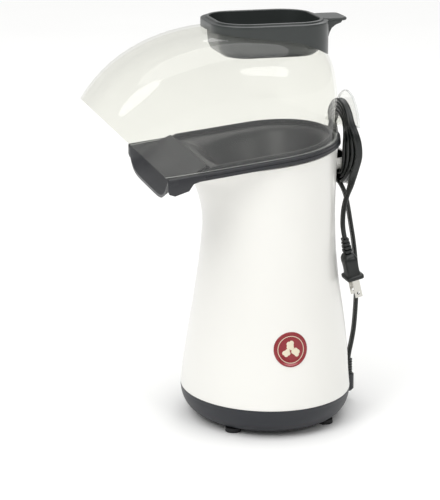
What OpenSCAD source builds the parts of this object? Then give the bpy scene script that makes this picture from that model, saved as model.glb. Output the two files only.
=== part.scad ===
// Hot-air popcorn popper: a white waisted housing on a dark pan, a dark chute
// deck, a clear lift-off hood and a measuring cup that rests in the hood's top.
// Millimetres, +Z up, the spout faces -Y, the cord hooks face +Y.

/* [Base] */
// Width of the base across X
base_w = 165; // [150:1:200]
// Depth of the base along Y
base_d = 150; // [140:1:185]
// Height of the rubber feet below the pan
foot_h = 4; // [3:0.5:8]
// Radius of a foot
foot_r = 7; // [5:0.5:10]
// Height of the seam between the pan and the housing
seam_z = 27; // [24:1:34]
// Wall of the moulded pan
pan_t = 2.5; // [2:0.1:3.5]

/* [Housing] */
// Width of the waist across X
waist_w = 126; // [118:1:140]
// Depth of the waist along Y
waist_d = 115.5; // [110:0.5:130]
// Height of the waist above the table
waist_z = 185; // [170:1:200]
// Wall of the housing
wall = 2.5; // [2:0.1:3.5]
// Shadow gap between the housing and the chute deck
deck_gap = 1.6; // [1:0.1:3]

/* [Chute deck] */
// Height of the deck's shoulder above the chamber axis
deck_z = 247; // [235:1:262]
// Rise of the deck from front to rear, in degrees
deck_tilt = 6.6; // [4:0.2:9]
// Width of the deck at the chamber axis
deck_w = 148; // [140:1:160]
// Width of the deck at the spout's corners
spout_w = 152; // [140:1:162]
// Distance from the chamber axis to the deck's rear end
deck_rear = 63.5; // [60:0.5:68]
// Distance from the chamber axis to the spout's corners
spout_y = 106; // [98:1:115]
// Distance from the chamber axis to the top of the ramp
crease_y = 70; // [64:1:78]
// Depth of the spout's trough below its corners
spout_drop = 19; // [14:1:22]
// Height of the skirt round the deck
skirt_h = 6; // [4:0.5:9]
// Wall of the moulded deck
deck_t = 2.4; // [2:0.1:3.2]
// Height of the ridge that centres the hood
ridge_h = 3.6; // [2.5:0.1:5]

/* [Hood] */
// Height of the hood's crown above the table
hood_top = 344.5; // [336:0.5:350]
// Distance from the chamber axis to the hood's front tip
hood_tip = 161; // [150:1:170]
// Height of the hood's front tip above the table
hood_tip_z = 290; // [284:1:296]
// Wall of the clear hood
hood_t = 2.2; // [1.6:0.1:3]
// Clearance between the hood's wall and the deck's ridge
hood_clear = 0.5; // [0.3:0.1:1]

/* [Measuring cup] */
// Length of the cup's rim along Y
cup_l = 92; // [80:1:98]
// Width of the cup's rim across X
cup_w = 82; // [72:1:86]
// Depth of the cup below its rim
cup_depth = 29; // [24:1:31]
// Height of the cup's rim above the table
cup_top = 355.6; // [352:0.2:362]
// Wall of the cup
cup_t = 2; // [1.6:0.1:2.6]
// Width of the flange round the cup's rim
flange_w = 5.5; // [4.5:0.5:8]
// Gap between the cup's wall and the hood's opening
cup_clear = 0.6; // [0.4:0.1:1.2]
// Length of the handle behind the flange
handle_l = 23; // [16:1:28]
// Width of the handle
handle_w = 32; // [24:1:40]

/* [Chamber and heater] */
// Outside radius of the popping chamber
chamber_r = 40; // [36:0.5:42]
// Wall of the popping chamber
chamber_t = 1; // [0.8:0.1:1.5]
// Height of the chamber's flange above the table
chamber_top = 213; // [205:1:218]
// Height of the chamber's floor above the table
chamber_bot = 130; // [124:1:138]
// Number of hot air louvres round the chamber
louvres = 16; // [10:1:20]
// Outside radius of the heater shroud
shroud_r = 46; // [44:0.5:48]
// Wall of the heater shroud
shroud_t = 0.8; // [0.6:0.1:1.2]

/* [Fan and motor] */
// Outside radius of the fan housing
fan_r = 52; // [50:0.5:56]
// Height of the fan housing's floor above the table
fan_z = 56; // [52:1:62]
// Radius of the impeller
impeller_r = 43; // [38:0.5:45]
// Number of impeller vanes
vanes = 12; // [8:1:16]
// Radius of the motor can
motor_r = 18; // [16:0.5:20]
// Length of the motor can
motor_l = 38; // [32:1:40]
// Diameter of the motor shaft
shaft_d = 3; // [2.5:0.1:4]
// Radial play between the shaft and its bushes
play = 0.04; // [0.02:0.01:0.08]

/* [Cord] */
// Width of the flat cord
cord_w = 6.8; // [6:0.1:8]
// Thickness of the flat cord
cord_t = 3.5; // [3:0.1:4]
// Turns of cord wound on the two hooks
cord_turns = 4; // [3:1:5]
// Radius of the hooks' saddles
hook_r = 20; // [19:0.1:21]
// Height of the upper hook's centre
hook_top_z = 246.5; // [244:0.5:250]
// Height of the lower hook's centre
hook_low_z = 238.5; // [232:0.5:240]
// Plane of the hook flanges, behind the chamber axis
hook_y = 72.4; // [72:0.2:76]
// Thickness of the hook flanges
hook_t = 2.4; // [2:0.1:3]

/* [Hidden] */
$fn = 64;

ring_n = 48;                     // points round a lofted ring
base_a = base_w / 2;
base_b = base_d / 2;
waist_a = waist_w / 2;
waist_b = waist_d / 2;
gland_r = 5.6;
gland_pos = [-6, base_b + 5.2];  // centre of the cord's gland on the pan's rear
rear_y = gland_pos[1] + gland_r;
mid_y = (rear_y - hood_tip) / 2; // the frame's origin stands under the middle of the body

// ---- shared functions and modules

function sgnpow(v, p) = sign(v) * pow(abs(v), p);

// A closed ring: half widths a, rear depth br, front depth bf, exponents nr and nf
function ring(a, br, bf, y0, z, tilt, nr = 2, nf = 2) = [
    for (i = [0 : ring_n - 1])
        let (t = 360 * i / ring_n, c = cos(t), s = sin(t), n = s > 0 ? nr : nf,
             y = y0 + (s > 0 ? br : bf) * sgnpow(s, 2 / n))
        [a * sgnpow(c, 2 / n), y, z + tilt * y]];

function reversed(list) = [for (i = [len(list) - 1 : -1 : 0]) list[i]];

// Quads between two neighbouring rings of n points
function band(k, m, n) = [for (i = [0 : n - 1]) let (j = (i + 1) % n)
    each [[k * n + i, m * n + i, m * n + j], [k * n + i, m * n + j, k * n + j]]];

// A solid lofted through rings, closed by flat ends
module loft(rings) {
    n = len(rings[0]);
    last = len(rings) - 1;
    polyhedron(points = [for (r = rings) each r],
        faces = concat([[for (i = [0 : n - 1]) i]],
            [for (k = [0 : last - 1]) each band(k, k + 1, n)],
            [[for (i = [n - 1 : -1 : 0]) last * n + i]]), convexity = 8);
}

// A wall whose section runs up the outer rings and down the inner ones
module loft_wall(outer, inner) {
    rings = concat(outer, reversed(inner));
    n = len(rings[0]);
    last = len(rings) - 1;
    polyhedron(points = [for (r = rings) each r],
        faces = [for (k = [0 : last]) each band(k, k == last ? 0 : k + 1, n)], convexity = 8);
}

module place() { translate([0, -mid_y, 0]) children(); }

module deck_frame() { translate([0, 0, deck_z]) rotate([deck_tilt, 0, 0]) children(); }

module tube(r_out, r_in, h) {
    difference() {
        cylinder(r = r_out, h = h);
        translate([0, 0, -1]) cylinder(r = r_in, h = h + 2);
    }
}

// A cross-recess screw that points down from its head
module screw(r, l, head_r, head_h) {
    difference() {
        union() {
            translate([0, 0, -l]) cylinder(r = r, h = l);
            cylinder(r = head_r, h = head_h);
        }
        for (a = [0, 90]) rotate([0, 0, a])
            translate([-head_r * 0.5, -0.4, head_h * 0.5]) cube([head_r, 0.8, head_h]);
    }
}

// ---- base

foot_x = base_a * 0.56;
foot_y = base_b * 0.56;
module foot(sx, sy) {
    color("#1c1c1e") place() translate([sx * foot_x, sy * foot_y, 0])
        cylinder(r = foot_r, h = foot_h);
}

boss_x = base_a * 0.36;
boss_y = base_b * 0.62;
boss_r = 5;
boss_h = 26;
module at_bosses() {
    for (sx = [-1, 1], sy = [-1, 1]) translate([sx * boss_x, sy * boss_y, 0]) children();
}

post_r = 4;
post_at = fan_r + 4;
module at_posts() {
    for (a = [90, 210, 330]) rotate([0, 0, a]) translate([post_at, 0, 0]) children();
}

pan_floor = foot_h + pan_t;
function pan_ring(z, shrink, inset) = ring(base_a - shrink - inset, base_b - shrink - inset,
    base_b - shrink - inset, 0, z, 0);
board_pos = [-46, -8];
board_z = 24;
module base_pan() {
    color("#3b3d42") place() difference() {
        union() {
            loft([pan_ring(foot_h, 15, 0), pan_ring(foot_h + 1.2, 11.5, 0),
                pan_ring(foot_h + 4.5, 7, 0), pan_ring(foot_h + 10, 3, 0),
                pan_ring(foot_h + 16, 0.8, 0), pan_ring(seam_z, 0, 0),
                pan_ring(seam_z, 0, pan_t), pan_ring(foot_h + 16, 0.8, pan_t),
                pan_ring(foot_h + 10, 3, pan_t), pan_ring(foot_h + 4.5, 8.5, pan_t),
                pan_ring(pan_floor, 13, pan_t)]);
            at_posts() translate([0, 0, foot_h + 1]) cylinder(r = post_r, h = fan_z - foot_h - 1);
            for (s = [-1, 1]) translate([board_pos[0], board_pos[1] + s * 9, foot_h + 1])
                cylinder(r = 2.5, h = board_z - foot_h - 1);
            translate([gland_pos[0], gland_pos[1], foot_h + 6])
                cylinder(r = gland_r, h = seam_z - foot_h - 7);
            translate([gland_pos[0] - gland_r, base_b - 7, foot_h + 8])
                cube([2 * gland_r, gland_pos[1] - base_b + 7, seam_z - foot_h - 9]);
        }
        translate([gland_pos[0], gland_pos[1], foot_h + 9]) cylinder(r = gland_r - 1.4, h = seam_z);
        translate([gland_pos[0], base_b - 12, foot_h + 12]) rotate([-90, 0, 0]) cylinder(r = 1.8, h = 16);
        at_posts() translate([0, 0, fan_z - 12]) cylinder(r = 1.2, h = 20);
        at_bosses() translate([0, 0, -1]) cylinder(r = 2, h = 20);
        for (x = [-27 : 9 : 27]) translate([x - 2, -22, 0]) cube([4, 44, pan_floor + 2]);
    }
}

module base_screws() {
    color("silver") place() at_bosses()
        translate([0, 0, foot_h]) mirror([0, 0, 1]) screw(1.4, 18, 3.2, 1.8);
}

// ---- housing

deck_low = deck_z - skirt_h - deck_gap;
deck_slope = tan(deck_tilt);
top_rear = deck_rear - 2;
top_front = 82;
// Height, half width, rear depth, front depth, slope of each ring of the housing
housing_profile = [
    [seam_z, base_a, base_b, base_b, 0],
    [seam_z + 16, base_a - 2, base_b - 1.4, base_b - 1.6, 0],
    [seam_z + 34, base_a - 4, base_b - 2.4, base_b - 4.2, 0],
    [seam_z + 54, base_a - 7, base_b - 4.4, base_b - 7.2, 0],
    [seam_z + 74, base_a - 10.2, base_b - 7, base_b - 10.6, 0.004],
    [waist_z - 64, waist_a + 5.4, waist_b + 7.2, waist_b + 3.8, 0.01],
    [waist_z - 44, waist_a + 2.6, waist_b + 5, waist_b + 1, 0.016],
    [waist_z - 24, waist_a + 0.6, waist_b + 3.6, waist_b - 1.2, 0.03],
    [waist_z - 4, waist_a, waist_b + 3, waist_b - 2.4, 0.05],
    [waist_z + 14, waist_a + 0.8, waist_b + 3, waist_b, 0.075],
    [waist_z + 30, waist_a + 2.4, waist_b + 3.2, waist_b + 4.4, 0.1],
    [waist_z + 40, waist_a + 4, waist_b + 3.3, waist_b + 8, deck_slope],
    [waist_z + 46, waist_a + 5, waist_b + 3.5, waist_b + 13, deck_slope],
    [deck_low - 3, waist_a + 6.2, top_rear - 0.3, top_front - 5, deck_slope],
    [deck_low, waist_a + 7, top_rear, top_front, deck_slope]];
function housing_rings(inset, list = housing_profile) = [for (p = list)
    ring(p[1] - inset, p[2] - inset, p[3] - inset, 0, p[0], p[4])];

lower_flange_r = 25;
lower_flange_z = 205;
lower_neck_z = hook_low_z - 6.5;
// The flanged hook that the cord's lower turns lie on
module lower_hook() {
    difference() {
        translate([0, waist_b + 1, hook_low_z]) rotate([-90, 0, 0])
            cylinder(r = hook_r, h = hook_y + hook_t - waist_b - 1);
        translate([-50, waist_b - 9, lower_neck_z]) cube([100, 60, 60]);
        translate([0, waist_b, hook_low_z]) rotate([-90, 0, 0])
            cylinder(r = hook_r - 2.4, h = hook_y - waist_b);
    }
    difference() {
        translate([0, hook_y, lower_flange_z + lower_flange_r]) rotate([-90, 0, 0])
            cylinder(r = lower_flange_r, h = hook_t);
        translate([-50, hook_y - 1, lower_neck_z]) cube([100, hook_t + 2, 60]);
    }
}

module housing() {
    color("#f2f0ea") place() {
        loft_wall(housing_rings(0), housing_rings(wall));
        at_bosses() translate([0, 0, seam_z - 6]) tube(boss_r, 1.5, boss_h);
        intersection() {
            for (sx = [-1, 1], sy = [-1, 1])
                translate([sx * (boss_x + boss_r + 16), sy * boss_y, seam_z + boss_h / 2 - 2])
                    cube([34, 2, boss_h - 6], center = true);
            loft([for (p = housing_profile) if (p[0] < seam_z + 60)
                ring(p[1] - wall / 2, p[2] - wall / 2, p[3] - wall / 2, 0, p[0], p[4])]);
        }
        lower_hook();
    }
}

badge_z = 80;
badge_r = 15;
module badge() {
    skin = [for (p = housing_profile) if (p[0] > badge_z - 45 && p[0] < badge_z + 45) p];
    color("#b3262c") place() intersection() {
        loft_wall(housing_rings(-0.7, skin), housing_rings(-0.05, skin));
        translate([base_a - 20, 1, badge_z]) rotate([0, 90 - 8.8, 0]) cylinder(r = badge_r, h = 40);
    }
}

// ---- chute deck

ridge_in = 7;
ridge_t = 2;
ridge_front_in = 11;
well_in = ridge_in + ridge_t;
crease_half = spout_w / 2 - ridge_front_in;
spout_half = spout_w / 2 - 1.2;

// The deck's plan: a half oval at the rear and straight sides to the spout, drawn in by an
// inset at the rear and along the sides, and by another at the spout
function deck_plan(inset, front_in) = concat(
    [for (i = [0 : 24]) let (t = 180 * i / 24)
        [(deck_w / 2 - inset) * cos(t), (deck_rear - inset) * sin(t)]],
    [[-(spout_w / 2 - front_in), -spout_y], [spout_w / 2 - front_in, -spout_y]]);
// The well's plan, inside the top of the housing
function well_plan(grow) = [for (p = ring(deck_w / 2 - well_in - 3 + grow, deck_rear - well_in + grow,
    crease_y - 1 + grow, 0, 0, 0, 2.2, 2.2)) [p[0], p[1]]];
// The opening over the ramp widens from the crease to the spout
throat = [[crease_half - 1.5, -crease_y - 1.5], [-crease_half + 1.5, -crease_y - 1.5],
    [-spout_half + 1.5, -spout_y - 1], [spout_half - 1.5, -spout_y - 1]];

module deck_plate() {
    translate([0, 0, -deck_t]) linear_extrude(deck_t) difference() {
        polygon(deck_plan(0, 0));
        polygon(well_plan(0));
        polygon(throat);
    }
}

module deck_skirt() {
    translate([0, 0, -skirt_h]) linear_extrude(skirt_h) difference() {
        polygon(deck_plan(0, 0));
        offset(delta = -deck_t) polygon(deck_plan(0, 0));
    }
}

module ridge() {
    translate([0, 0, -1]) linear_extrude(ridge_h + 1) intersection() {
        difference() {
            polygon(deck_plan(ridge_in, ridge_front_in));
            offset(delta = -ridge_t) polygon(deck_plan(ridge_in, ridge_front_in));
        }
        translate([-100, -crease_y]) square([200, 200]);
    }
}

mouth_r = chamber_r + 1;
mouth_z = chamber_top + 1.6;

// Centre line of the ramp: u runs from the crease to the spout, v across it
function ramp_point(u, v, drop) = let (
    half = crease_half + (spout_half - crease_half) * u,
    y = -(crease_y + (spout_y - crease_y) * u),
    rim = deck_z + deck_slope * y - 0.1 + 1.6 * max(0, 1 - u * 3.4),
    sag = spout_drop * pow(u, 1.3) * (1 - pow(abs(v), 6)))
    [half * v, y, rim - sag - drop];
ramp_u = 6;
ramp_v = 20;
module ramp() {
    function sheet(drop) = [for (i = [0 : ramp_u], j = [0 : ramp_v])
        ramp_point(i / ramp_u, 2 * j / ramp_v - 1, drop)];
    m = ramp_v + 1;
    k = (ramp_u + 1) * m;
    top = [for (i = [0 : ramp_u - 1], j = [0 : ramp_v - 1]) let (a = i * m + j)
        each [[a, a + 1, a + m + 1], [a, a + m + 1, a + m]]];
    under = [for (f = top) [f[2] + k, f[1] + k, f[0] + k]];
    rim = concat([for (j = [0 : ramp_v]) j], [for (i = [1 : ramp_u]) i * m + ramp_v],
        [for (j = [ramp_v - 1 : -1 : 0]) ramp_u * m + j], [for (i = [ramp_u - 1 : -1 : 1]) i * m]);
    n = len(rim);
    side = [for (i = [0 : n - 1]) let (a = rim[i], b = rim[(i + 1) % n])
        each [[a, a + k, b + k], [a, b + k, b]]];
    polyhedron(points = concat(sheet(0), sheet(deck_t)), faces = concat(top, under, side), convexity = 6);
}

module well_body(grow, low, top) {
    hull() {
        deck_frame() translate([0, 0, top - 0.2]) linear_extrude(0.2) polygon(well_plan(grow));
        translate([0, 0, mouth_z - low]) cylinder(r = mouth_r + grow, h = 0.2, $fn = 48);
    }
}

module chute_tray() {
    color("#46474c") place() difference() {
        union() {
            difference() {
                deck_frame() {
                    deck_skirt();
                    deck_plate();
                    ridge();
                }
                translate([-100, -spout_y - 30, deck_z - 60]) cube([200, 30, 80]);
                translate([-spout_half + 1, -spout_y - 10, deck_z - 60]) cube([2 * spout_half - 2, 16, 60]);
            }
            for (s = [-1, 1]) translate([s * (spout_w / 2 - deck_t / 2) - deck_t / 2, 0, deck_z])
                rotate([90, 0, 90]) linear_extrude(deck_t)
                    polygon([[-spout_y, -spout_y * deck_slope - 1], [-spout_y, -spout_y * deck_slope - 9],
                        [-spout_y + 6, -spout_y * deck_slope - 14],
                        [-top_front - 6, -top_front * deck_slope - skirt_h - 4],
                        [-top_front + 6, -top_front * deck_slope - skirt_h + 1]]);
            difference() {
                well_body(deck_t, 0, -0.4);
                well_body(0, 1, 0.4);
            }
            ramp();
            translate([0, 0, mouth_z]) tube(mouth_r + 10, mouth_r, 3);
        }
        at_chamber_screws() translate([0, 0, mouth_z - 1]) cylinder(r = 1.5, h = 3.6);
    }
}

gasket_h = mouth_z - chamber_top;
screw_ring = mouth_r + 6.5;
module at_chamber_screws() {
    for (a = [30, 150, 270]) rotate([0, 0, a]) translate([screw_ring, 0, 0]) children();
}

module chamber_gasket() {
    color("#d8d4c8") place() difference() {
        translate([0, 0, chamber_top]) tube(mouth_r + 10, mouth_r, gasket_h);
        at_chamber_screws() cylinder(r = 1.6, h = 400);
    }
}

module chamber_screws() {
    color("silver") place() at_chamber_screws()
        translate([0, 0, chamber_top - chamber_t]) mirror([0, 0, 1]) screw(1.45, 5, 2.8, 1.6);
}

module popping_chamber() {
    color("#c9ccd0") place() difference() {
        rotate_extrude() polygon([[0, chamber_bot + 6], [12, chamber_bot + 5], [24, chamber_bot],
            [chamber_r - 5, chamber_bot], [chamber_r, chamber_bot + 5],
            [chamber_r, chamber_top - chamber_t], [mouth_r + 10, chamber_top - chamber_t],
            [mouth_r + 10, chamber_top],
            [chamber_r - chamber_t, chamber_top], [chamber_r - chamber_t, chamber_bot + 5.6],
            [chamber_r - 5.6, chamber_bot + chamber_t], [24.4, chamber_bot + chamber_t],
            [12, chamber_bot + 5 + chamber_t], [0, chamber_bot + 6 + chamber_t]]);
        for (i = [0 : louvres - 1]) rotate([0, 0, 360 * (i + 0.5) / louvres])
            translate([chamber_r - 3, -1.2, chamber_bot + 9]) rotate([0, 0, 24]) cube([9, 2.4, 13]);
        at_chamber_screws() cylinder(r = 1.6, h = 400);
    }
}

// ---- heater

shroud_top = chamber_bot + 34;
shroud_bot = fan_z + 32;
module heater_shroud() {
    color("#b9bcc0") place() rotate_extrude() polygon([[shroud_r, shroud_bot],
        [shroud_r, shroud_top], [chamber_r + 0.15, shroud_top], [chamber_r + 0.15, shroud_top - shroud_t],
        [shroud_r - shroud_t, shroud_top - shroud_t], [shroud_r - shroud_t, shroud_bot]]);
}

frame_z = shroud_bot + 4;
frame_h = 30;
coil_radii = [36, 27, 18];
coil_levels = [6, 15, 24];
coil_wire = 1.5;
module heater_frame() {
    color("#c9b48a") place() difference() {
        for (a = [45, 135]) rotate([0, 0, a])
            translate([-(shroud_r - shroud_t - 0.1), -0.5, frame_z])
                cube([2 * (shroud_r - shroud_t - 0.1), 1, frame_h]);
        for (a = [45, 135, 225, 315], r = coil_radii, z = coil_levels) rotate([0, 0, a])
            translate([r - coil_wire - 0.2, -2, frame_z + z - coil_wire - 0.2])
                cube([2 * coil_wire + 0.4, 4, 2 * coil_wire + 0.4]);
    }
}

module heating_coil() {
    color("#8a8078") place() for (r = coil_radii, z = coil_levels)
        translate([0, 0, frame_z + z]) rotate_extrude() translate([r, 0]) circle(r = coil_wire, $fn = 16);
}

module thermostat() {
    color("#caa24a") place() translate([0, -shroud_r - 0.1, shroud_bot + 22]) rotate([90, 0, 0]) {
        cylinder(r = 8, h = 4);
        translate([0, 0, 4]) cylinder(r = 6, h = 3);
        for (s = [-1, 1]) translate([s * 3 - 0.4, -2, 7]) cube([0.8, 4, 4]);
    }
}

module thermal_fuse() {
    color("#d9d9d9") place() translate([0, shroud_r + 2.1, shroud_bot + 14]) {
        cylinder(r = 2, h = 10);
        translate([0, 0, -6]) cylinder(r = 0.5, h = 22);
    }
}

// ---- fan and motor

collar_r = shroud_r + 0.15;
module fan_housing() {
    color("#26282c") place() difference() {
        union() {
            rotate_extrude() polygon([[7, fan_z], [fan_r, fan_z], [fan_r, fan_z + 24],
                [collar_r + 1.6, fan_z + 30], [collar_r + 1.6, fan_z + 38], [collar_r, fan_z + 38],
                [collar_r, fan_z + 32], [collar_r - 1.4, fan_z + 32], [collar_r - 1.4, fan_z + 29],
                [fan_r - 2, fan_z + 23], [fan_r - 2, fan_z + 2], [7, fan_z + 2]]);
            at_posts() translate([-3, 0, fan_z]) cylinder(r = post_r + 2, h = 2.5);
        }
        at_posts() translate([0, 0, fan_z - 1]) cylinder(r = 1.7, h = 10);
        for (s = [-1, 1]) translate([s * 12, 0, fan_z - 1]) cylinder(r = 1.6, h = 10);
        for (i = [0 : 7]) rotate([0, 0, 360 * i / 8 + 22.5]) translate([23, -3, fan_z - 1])
            cube([15, 6, 4]);
    }
}

module fan_screws() {
    color("silver") place() at_posts() translate([0, 0, fan_z + 2.5]) screw(1.1, 11, 2.6, 1.6);
}

impeller_z = fan_z + 7;
module fan_impeller() {
    color("#2f3136") place() difference() {
        union() {
            translate([0, 0, impeller_z]) cylinder(r = impeller_r, h = 1.5);
            translate([0, 0, impeller_z]) cylinder(r = 6, h = 12);
            for (i = [0 : vanes - 1]) rotate([0, 0, 360 * i / vanes])
                translate([5, -0.6, impeller_z + 1]) cube([impeller_r - 6, 1.2, 12]);
        }
        translate([0, 0, impeller_z - 1]) cylinder(d = shaft_d, h = 20);
    }
}

shaft_top = impeller_z + 16;
module fan_nut() {
    color("silver") place() translate([0, 0, impeller_z + 12]) difference() {
        cylinder(r = 3.2, h = 2.6, $fn = 6);
        translate([0, 0, -1]) cylinder(d = shaft_d, h = 5);
    }
}

can_bot = fan_z - motor_l;
bush_r = 3.6;
module motor_can() {
    color("#a9adb3") place() difference() {
        translate([0, 0, can_bot]) cylinder(r = motor_r, h = motor_l);
        translate([0, 0, can_bot - 1]) cylinder(r = motor_r - 1.2, h = motor_l - 0.6);
        cylinder(r = bush_r, h = 200);
        for (s = [-1, 1]) translate([s * 12, 0, fan_z - 4]) cylinder(r = 1.1, h = 10);
    }
}

module motor_end_cap() {
    color("#1f2023") place() difference() {
        union() {
            translate([0, 0, can_bot - 2]) cylinder(r = motor_r, h = 2);
            translate([0, 0, can_bot]) cylinder(r = motor_r - 1.25, h = 2.5);
            for (s = [-1, 1]) translate([s * 9 - 1.2, -0.3, can_bot - 5]) cube([2.4, 0.6, 4]);
        }
        translate([0, 0, can_bot - 4]) cylinder(r = bush_r, h = 20);
    }
}

module motor_magnets() {
    color("#54565a") place() difference() {
        translate([0, 0, can_bot + 5]) tube(motor_r - 1.25, motor_r - 4.6, motor_l - 10);
        for (a = [0, 90]) rotate([0, 0, 45]) translate([-30, -4, 0]) cube([60, 8, 100]);
    }
}

module bush(z) {
    color("#b08a4a") place() translate([0, 0, z]) tube(bush_r, shaft_d / 2 + play, 4);
}

module motor_shaft() {
    color("#d0d2d6") place() translate([0, 0, can_bot - 1.5])
        cylinder(d = shaft_d, h = shaft_top - can_bot + 1.5);
}

armature_r = motor_r - 5.4;
module motor_armature() {
    color("#8f5a34") place() difference() {
        union() {
            translate([0, 0, can_bot + 9]) cylinder(r = armature_r, h = motor_l - 18);
            translate([0, 0, can_bot + 4]) cylinder(r = 4, h = motor_l - 10);
        }
        for (i = [0 : 4]) rotate([0, 0, 72 * i]) translate([armature_r - 5, -0.8, 0]) cube([8, 1.6, 100]);
        cylinder(d = shaft_d, h = 200);
    }
}

module motor_screws() {
    color("silver") place() for (s = [-1, 1])
        translate([s * 12, 0, fan_z + 2]) screw(1.05, 3, 2.2, 1.2);
}

module rectifier_board() {
    color("#2f6b3c") place() translate([board_pos[0], board_pos[1], board_z]) {
        translate([-9, -14, 0]) cube([18, 28, 1.6]);
        for (i = [0 : 3]) translate([-4, -9 + 4 * i, 3.1]) rotate([0, 90, 0]) cylinder(r = 1.6, h = 8);
        translate([0, 9, 1.5]) cylinder(r = 3.2, h = 7);
    }
}

// ---- swept leads

function unit(v) = v / norm(v);
function tangent(p, i) = unit(p[min(i + 1, len(p) - 1)] - p[max(i - 1, 0)]);
// Catmull-Rom curve through the points, with steps between neighbours
function spline(p, steps) = [for (i = [0 : len(p) - 2], j = [0 : steps - (i < len(p) - 2 ? 1 : 0)])
    let (t = j / steps, a = p[max(i - 1, 0)], b = p[i], c = p[i + 1], d = p[min(i + 2, len(p) - 1)])
    0.5 * (2 * b + (c - a) * t + (2 * a - 5 * b + 4 * c - d) * t * t
        + (3 * b - a - 3 * c + d) * t * t * t)];
// A tube with an oval section: half width a along "across", half thickness b
module sweep(path, a, b, sides, across) {
    rings = [for (i = [0 : len(path) - 1]) let (t = tangent(path, i),
        n = unit(cross(t, across)), w = unit(cross(n, t)))
        [for (k = [0 : sides - 1]) let (q = 360 * (k + 0.5) / sides)
            path[i] + a * cos(q) * w + b * sin(q) * n]];
    loft(rings);
}

module wiring() {
    color("#3a6ea8") place() {
        sweep(spline([[-6, 75.8, 16], [-6, 68, 16], [-8, 58, 13], [-20, 46, 12], [-38, 24, 14],
            [-46, 12, 22.5]], 4), 1.3, 1.3, 8, [0, 0, 1]);
        sweep(spline([[-36, -10, 25.6], [-26, -12, 20], [-16, -8, 12], [-9, 0, 11]], 4),
            1, 1, 8, [0, 1, 0]);
        sweep(spline([[-36, -4, 25.6], [-28, 6, 18], [-14, 10, 11.5], [0, 6, 10], [9, 0.5, 10.8]], 4),
            1, 1, 8, [0, 1, 0]);
        sweep(spline([[-50, -20, 26.6], [-58, -28, 38], [-52, -40, 60], [-38, -50, 86], [-20, -57, 104],
            [-3, -56.8, 108]], 4), 1, 1, 8, [0, 1, 0]);
    }
}

// ---- hood

hood_a = spout_w / 2 - ridge_in + hood_t + hood_clear;
hood_b = deck_rear - ridge_in + hood_t + hood_clear;
hood_y0 = -10;
hood_low = deck_z + 0.3;
hood_high = hood_top - hood_low;
hood_rear = hood_b - hood_y0;
cut_sum = hood_tip_z - hood_tip;     // the front opening lies in the plane y + z = cut_sum
tip_h = (hood_tip_z - hood_low) / hood_high;
hood_front = (hood_tip + hood_y0) / sqrt(1 - tip_h * tip_h);
crown_slope = -0.075;
side_n = 4.4;
hood_levels = [0, 0.2, 0.38, 0.52, 0.64, 0.74, 0.82, 0.89, 0.94, 0.975, 1];
function hood_rings(inset) = [for (h = hood_levels) let (
    rear = pow(max(1 - pow(h * 0.985, 4), 0), 0.25),
    front = sqrt(max(1 - pow(h * 0.985, 2), 0)),
    side = pow(max(1 - pow(h * 0.985, side_n), 0), 1 / side_n),
    lift = hood_low + (hood_high - inset) * h)
    ring((hood_a - inset) * side, (hood_rear - inset) * rear, (hood_front - inset) * front,
        hood_y0, lift, deck_slope * (1 - h) + crown_slope * h, 2.3, 3.4)];

upper_flange_r = 34;
upper_flange_top = 288;
neck_low = deck_z + deck_rear * deck_slope + ridge_h + 3;
// The flanged hook that the cord's upper turns hang on
module upper_hook() {
    difference() {
        translate([0, hood_b - 1.6, hook_top_z]) rotate([-90, 0, 0])
            cylinder(r = hook_r, h = hook_y + hook_t - hood_b + 1.6);
        translate([-50, hood_b - 9, neck_low - 60]) cube([100, 60, 60]);
    }
    difference() {
        translate([0, hook_y, upper_flange_top - upper_flange_r]) rotate([-90, 0, 0])
            cylinder(r = upper_flange_r, h = hook_t);
        translate([-50, hook_y - 1, neck_low - 60]) cube([100, hook_t + 2, 60]);
    }
}

corner_r = 26;
cup_y = -2.5;                        // middle of the cup, ahead of the chamber axis
function oblong(l, w, r, n = 8) = [for (q = [0 : 3], i = [0 : n])
    let (sx = (q == 0 || q == 3) ? 1 : -1, sy = q < 2 ? 1 : -1, t = 90 * q + 90 * i / n)
    [sx * (w / 2 - r) + r * cos(t), cup_y + sy * (l / 2 - r) + r * sin(t)]];

module hood() {
    color([0.9, 0.92, 0.93, 0.45]) place() {
        difference() {
            loft(hood_rings(0));
            translate([0, 0, -0.01]) loft(hood_rings(hood_t));
            translate([0, 0, cut_sum]) rotate([45, 0, 0]) translate([-150, -300, -300])
                cube([300, 300, 600]);
            translate([0, 0, hood_top - 30]) linear_extrude(60)
                polygon(oblong(cup_l + 2 * cup_clear, cup_w + 2 * cup_clear, corner_r + cup_clear));
        }
        upper_hook();
    }
}

// ---- measuring cup

lip_h = 1.6;
rim_z = cup_top - lip_h;
handle_top = cup_top - 1.2;
module cup_solid(grow, low) {
    hull() {
        translate([0, 0, rim_z - 0.2]) linear_extrude(0.2)
            polygon(oblong(cup_l + 2 * grow, cup_w + 2 * grow, corner_r + grow));
        translate([0, 0, rim_z - cup_depth + 9 + low]) linear_extrude(0.2)
            polygon(oblong(cup_l - 1 + 2 * grow, cup_w - 1 + 2 * grow, corner_r + grow));
        translate([0, 0, rim_z - cup_depth + low]) linear_extrude(0.2)
            polygon(oblong(cup_l - 16 + 2 * grow, cup_w - 16 + 2 * grow, corner_r - 8 + grow));
    }
}

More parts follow.
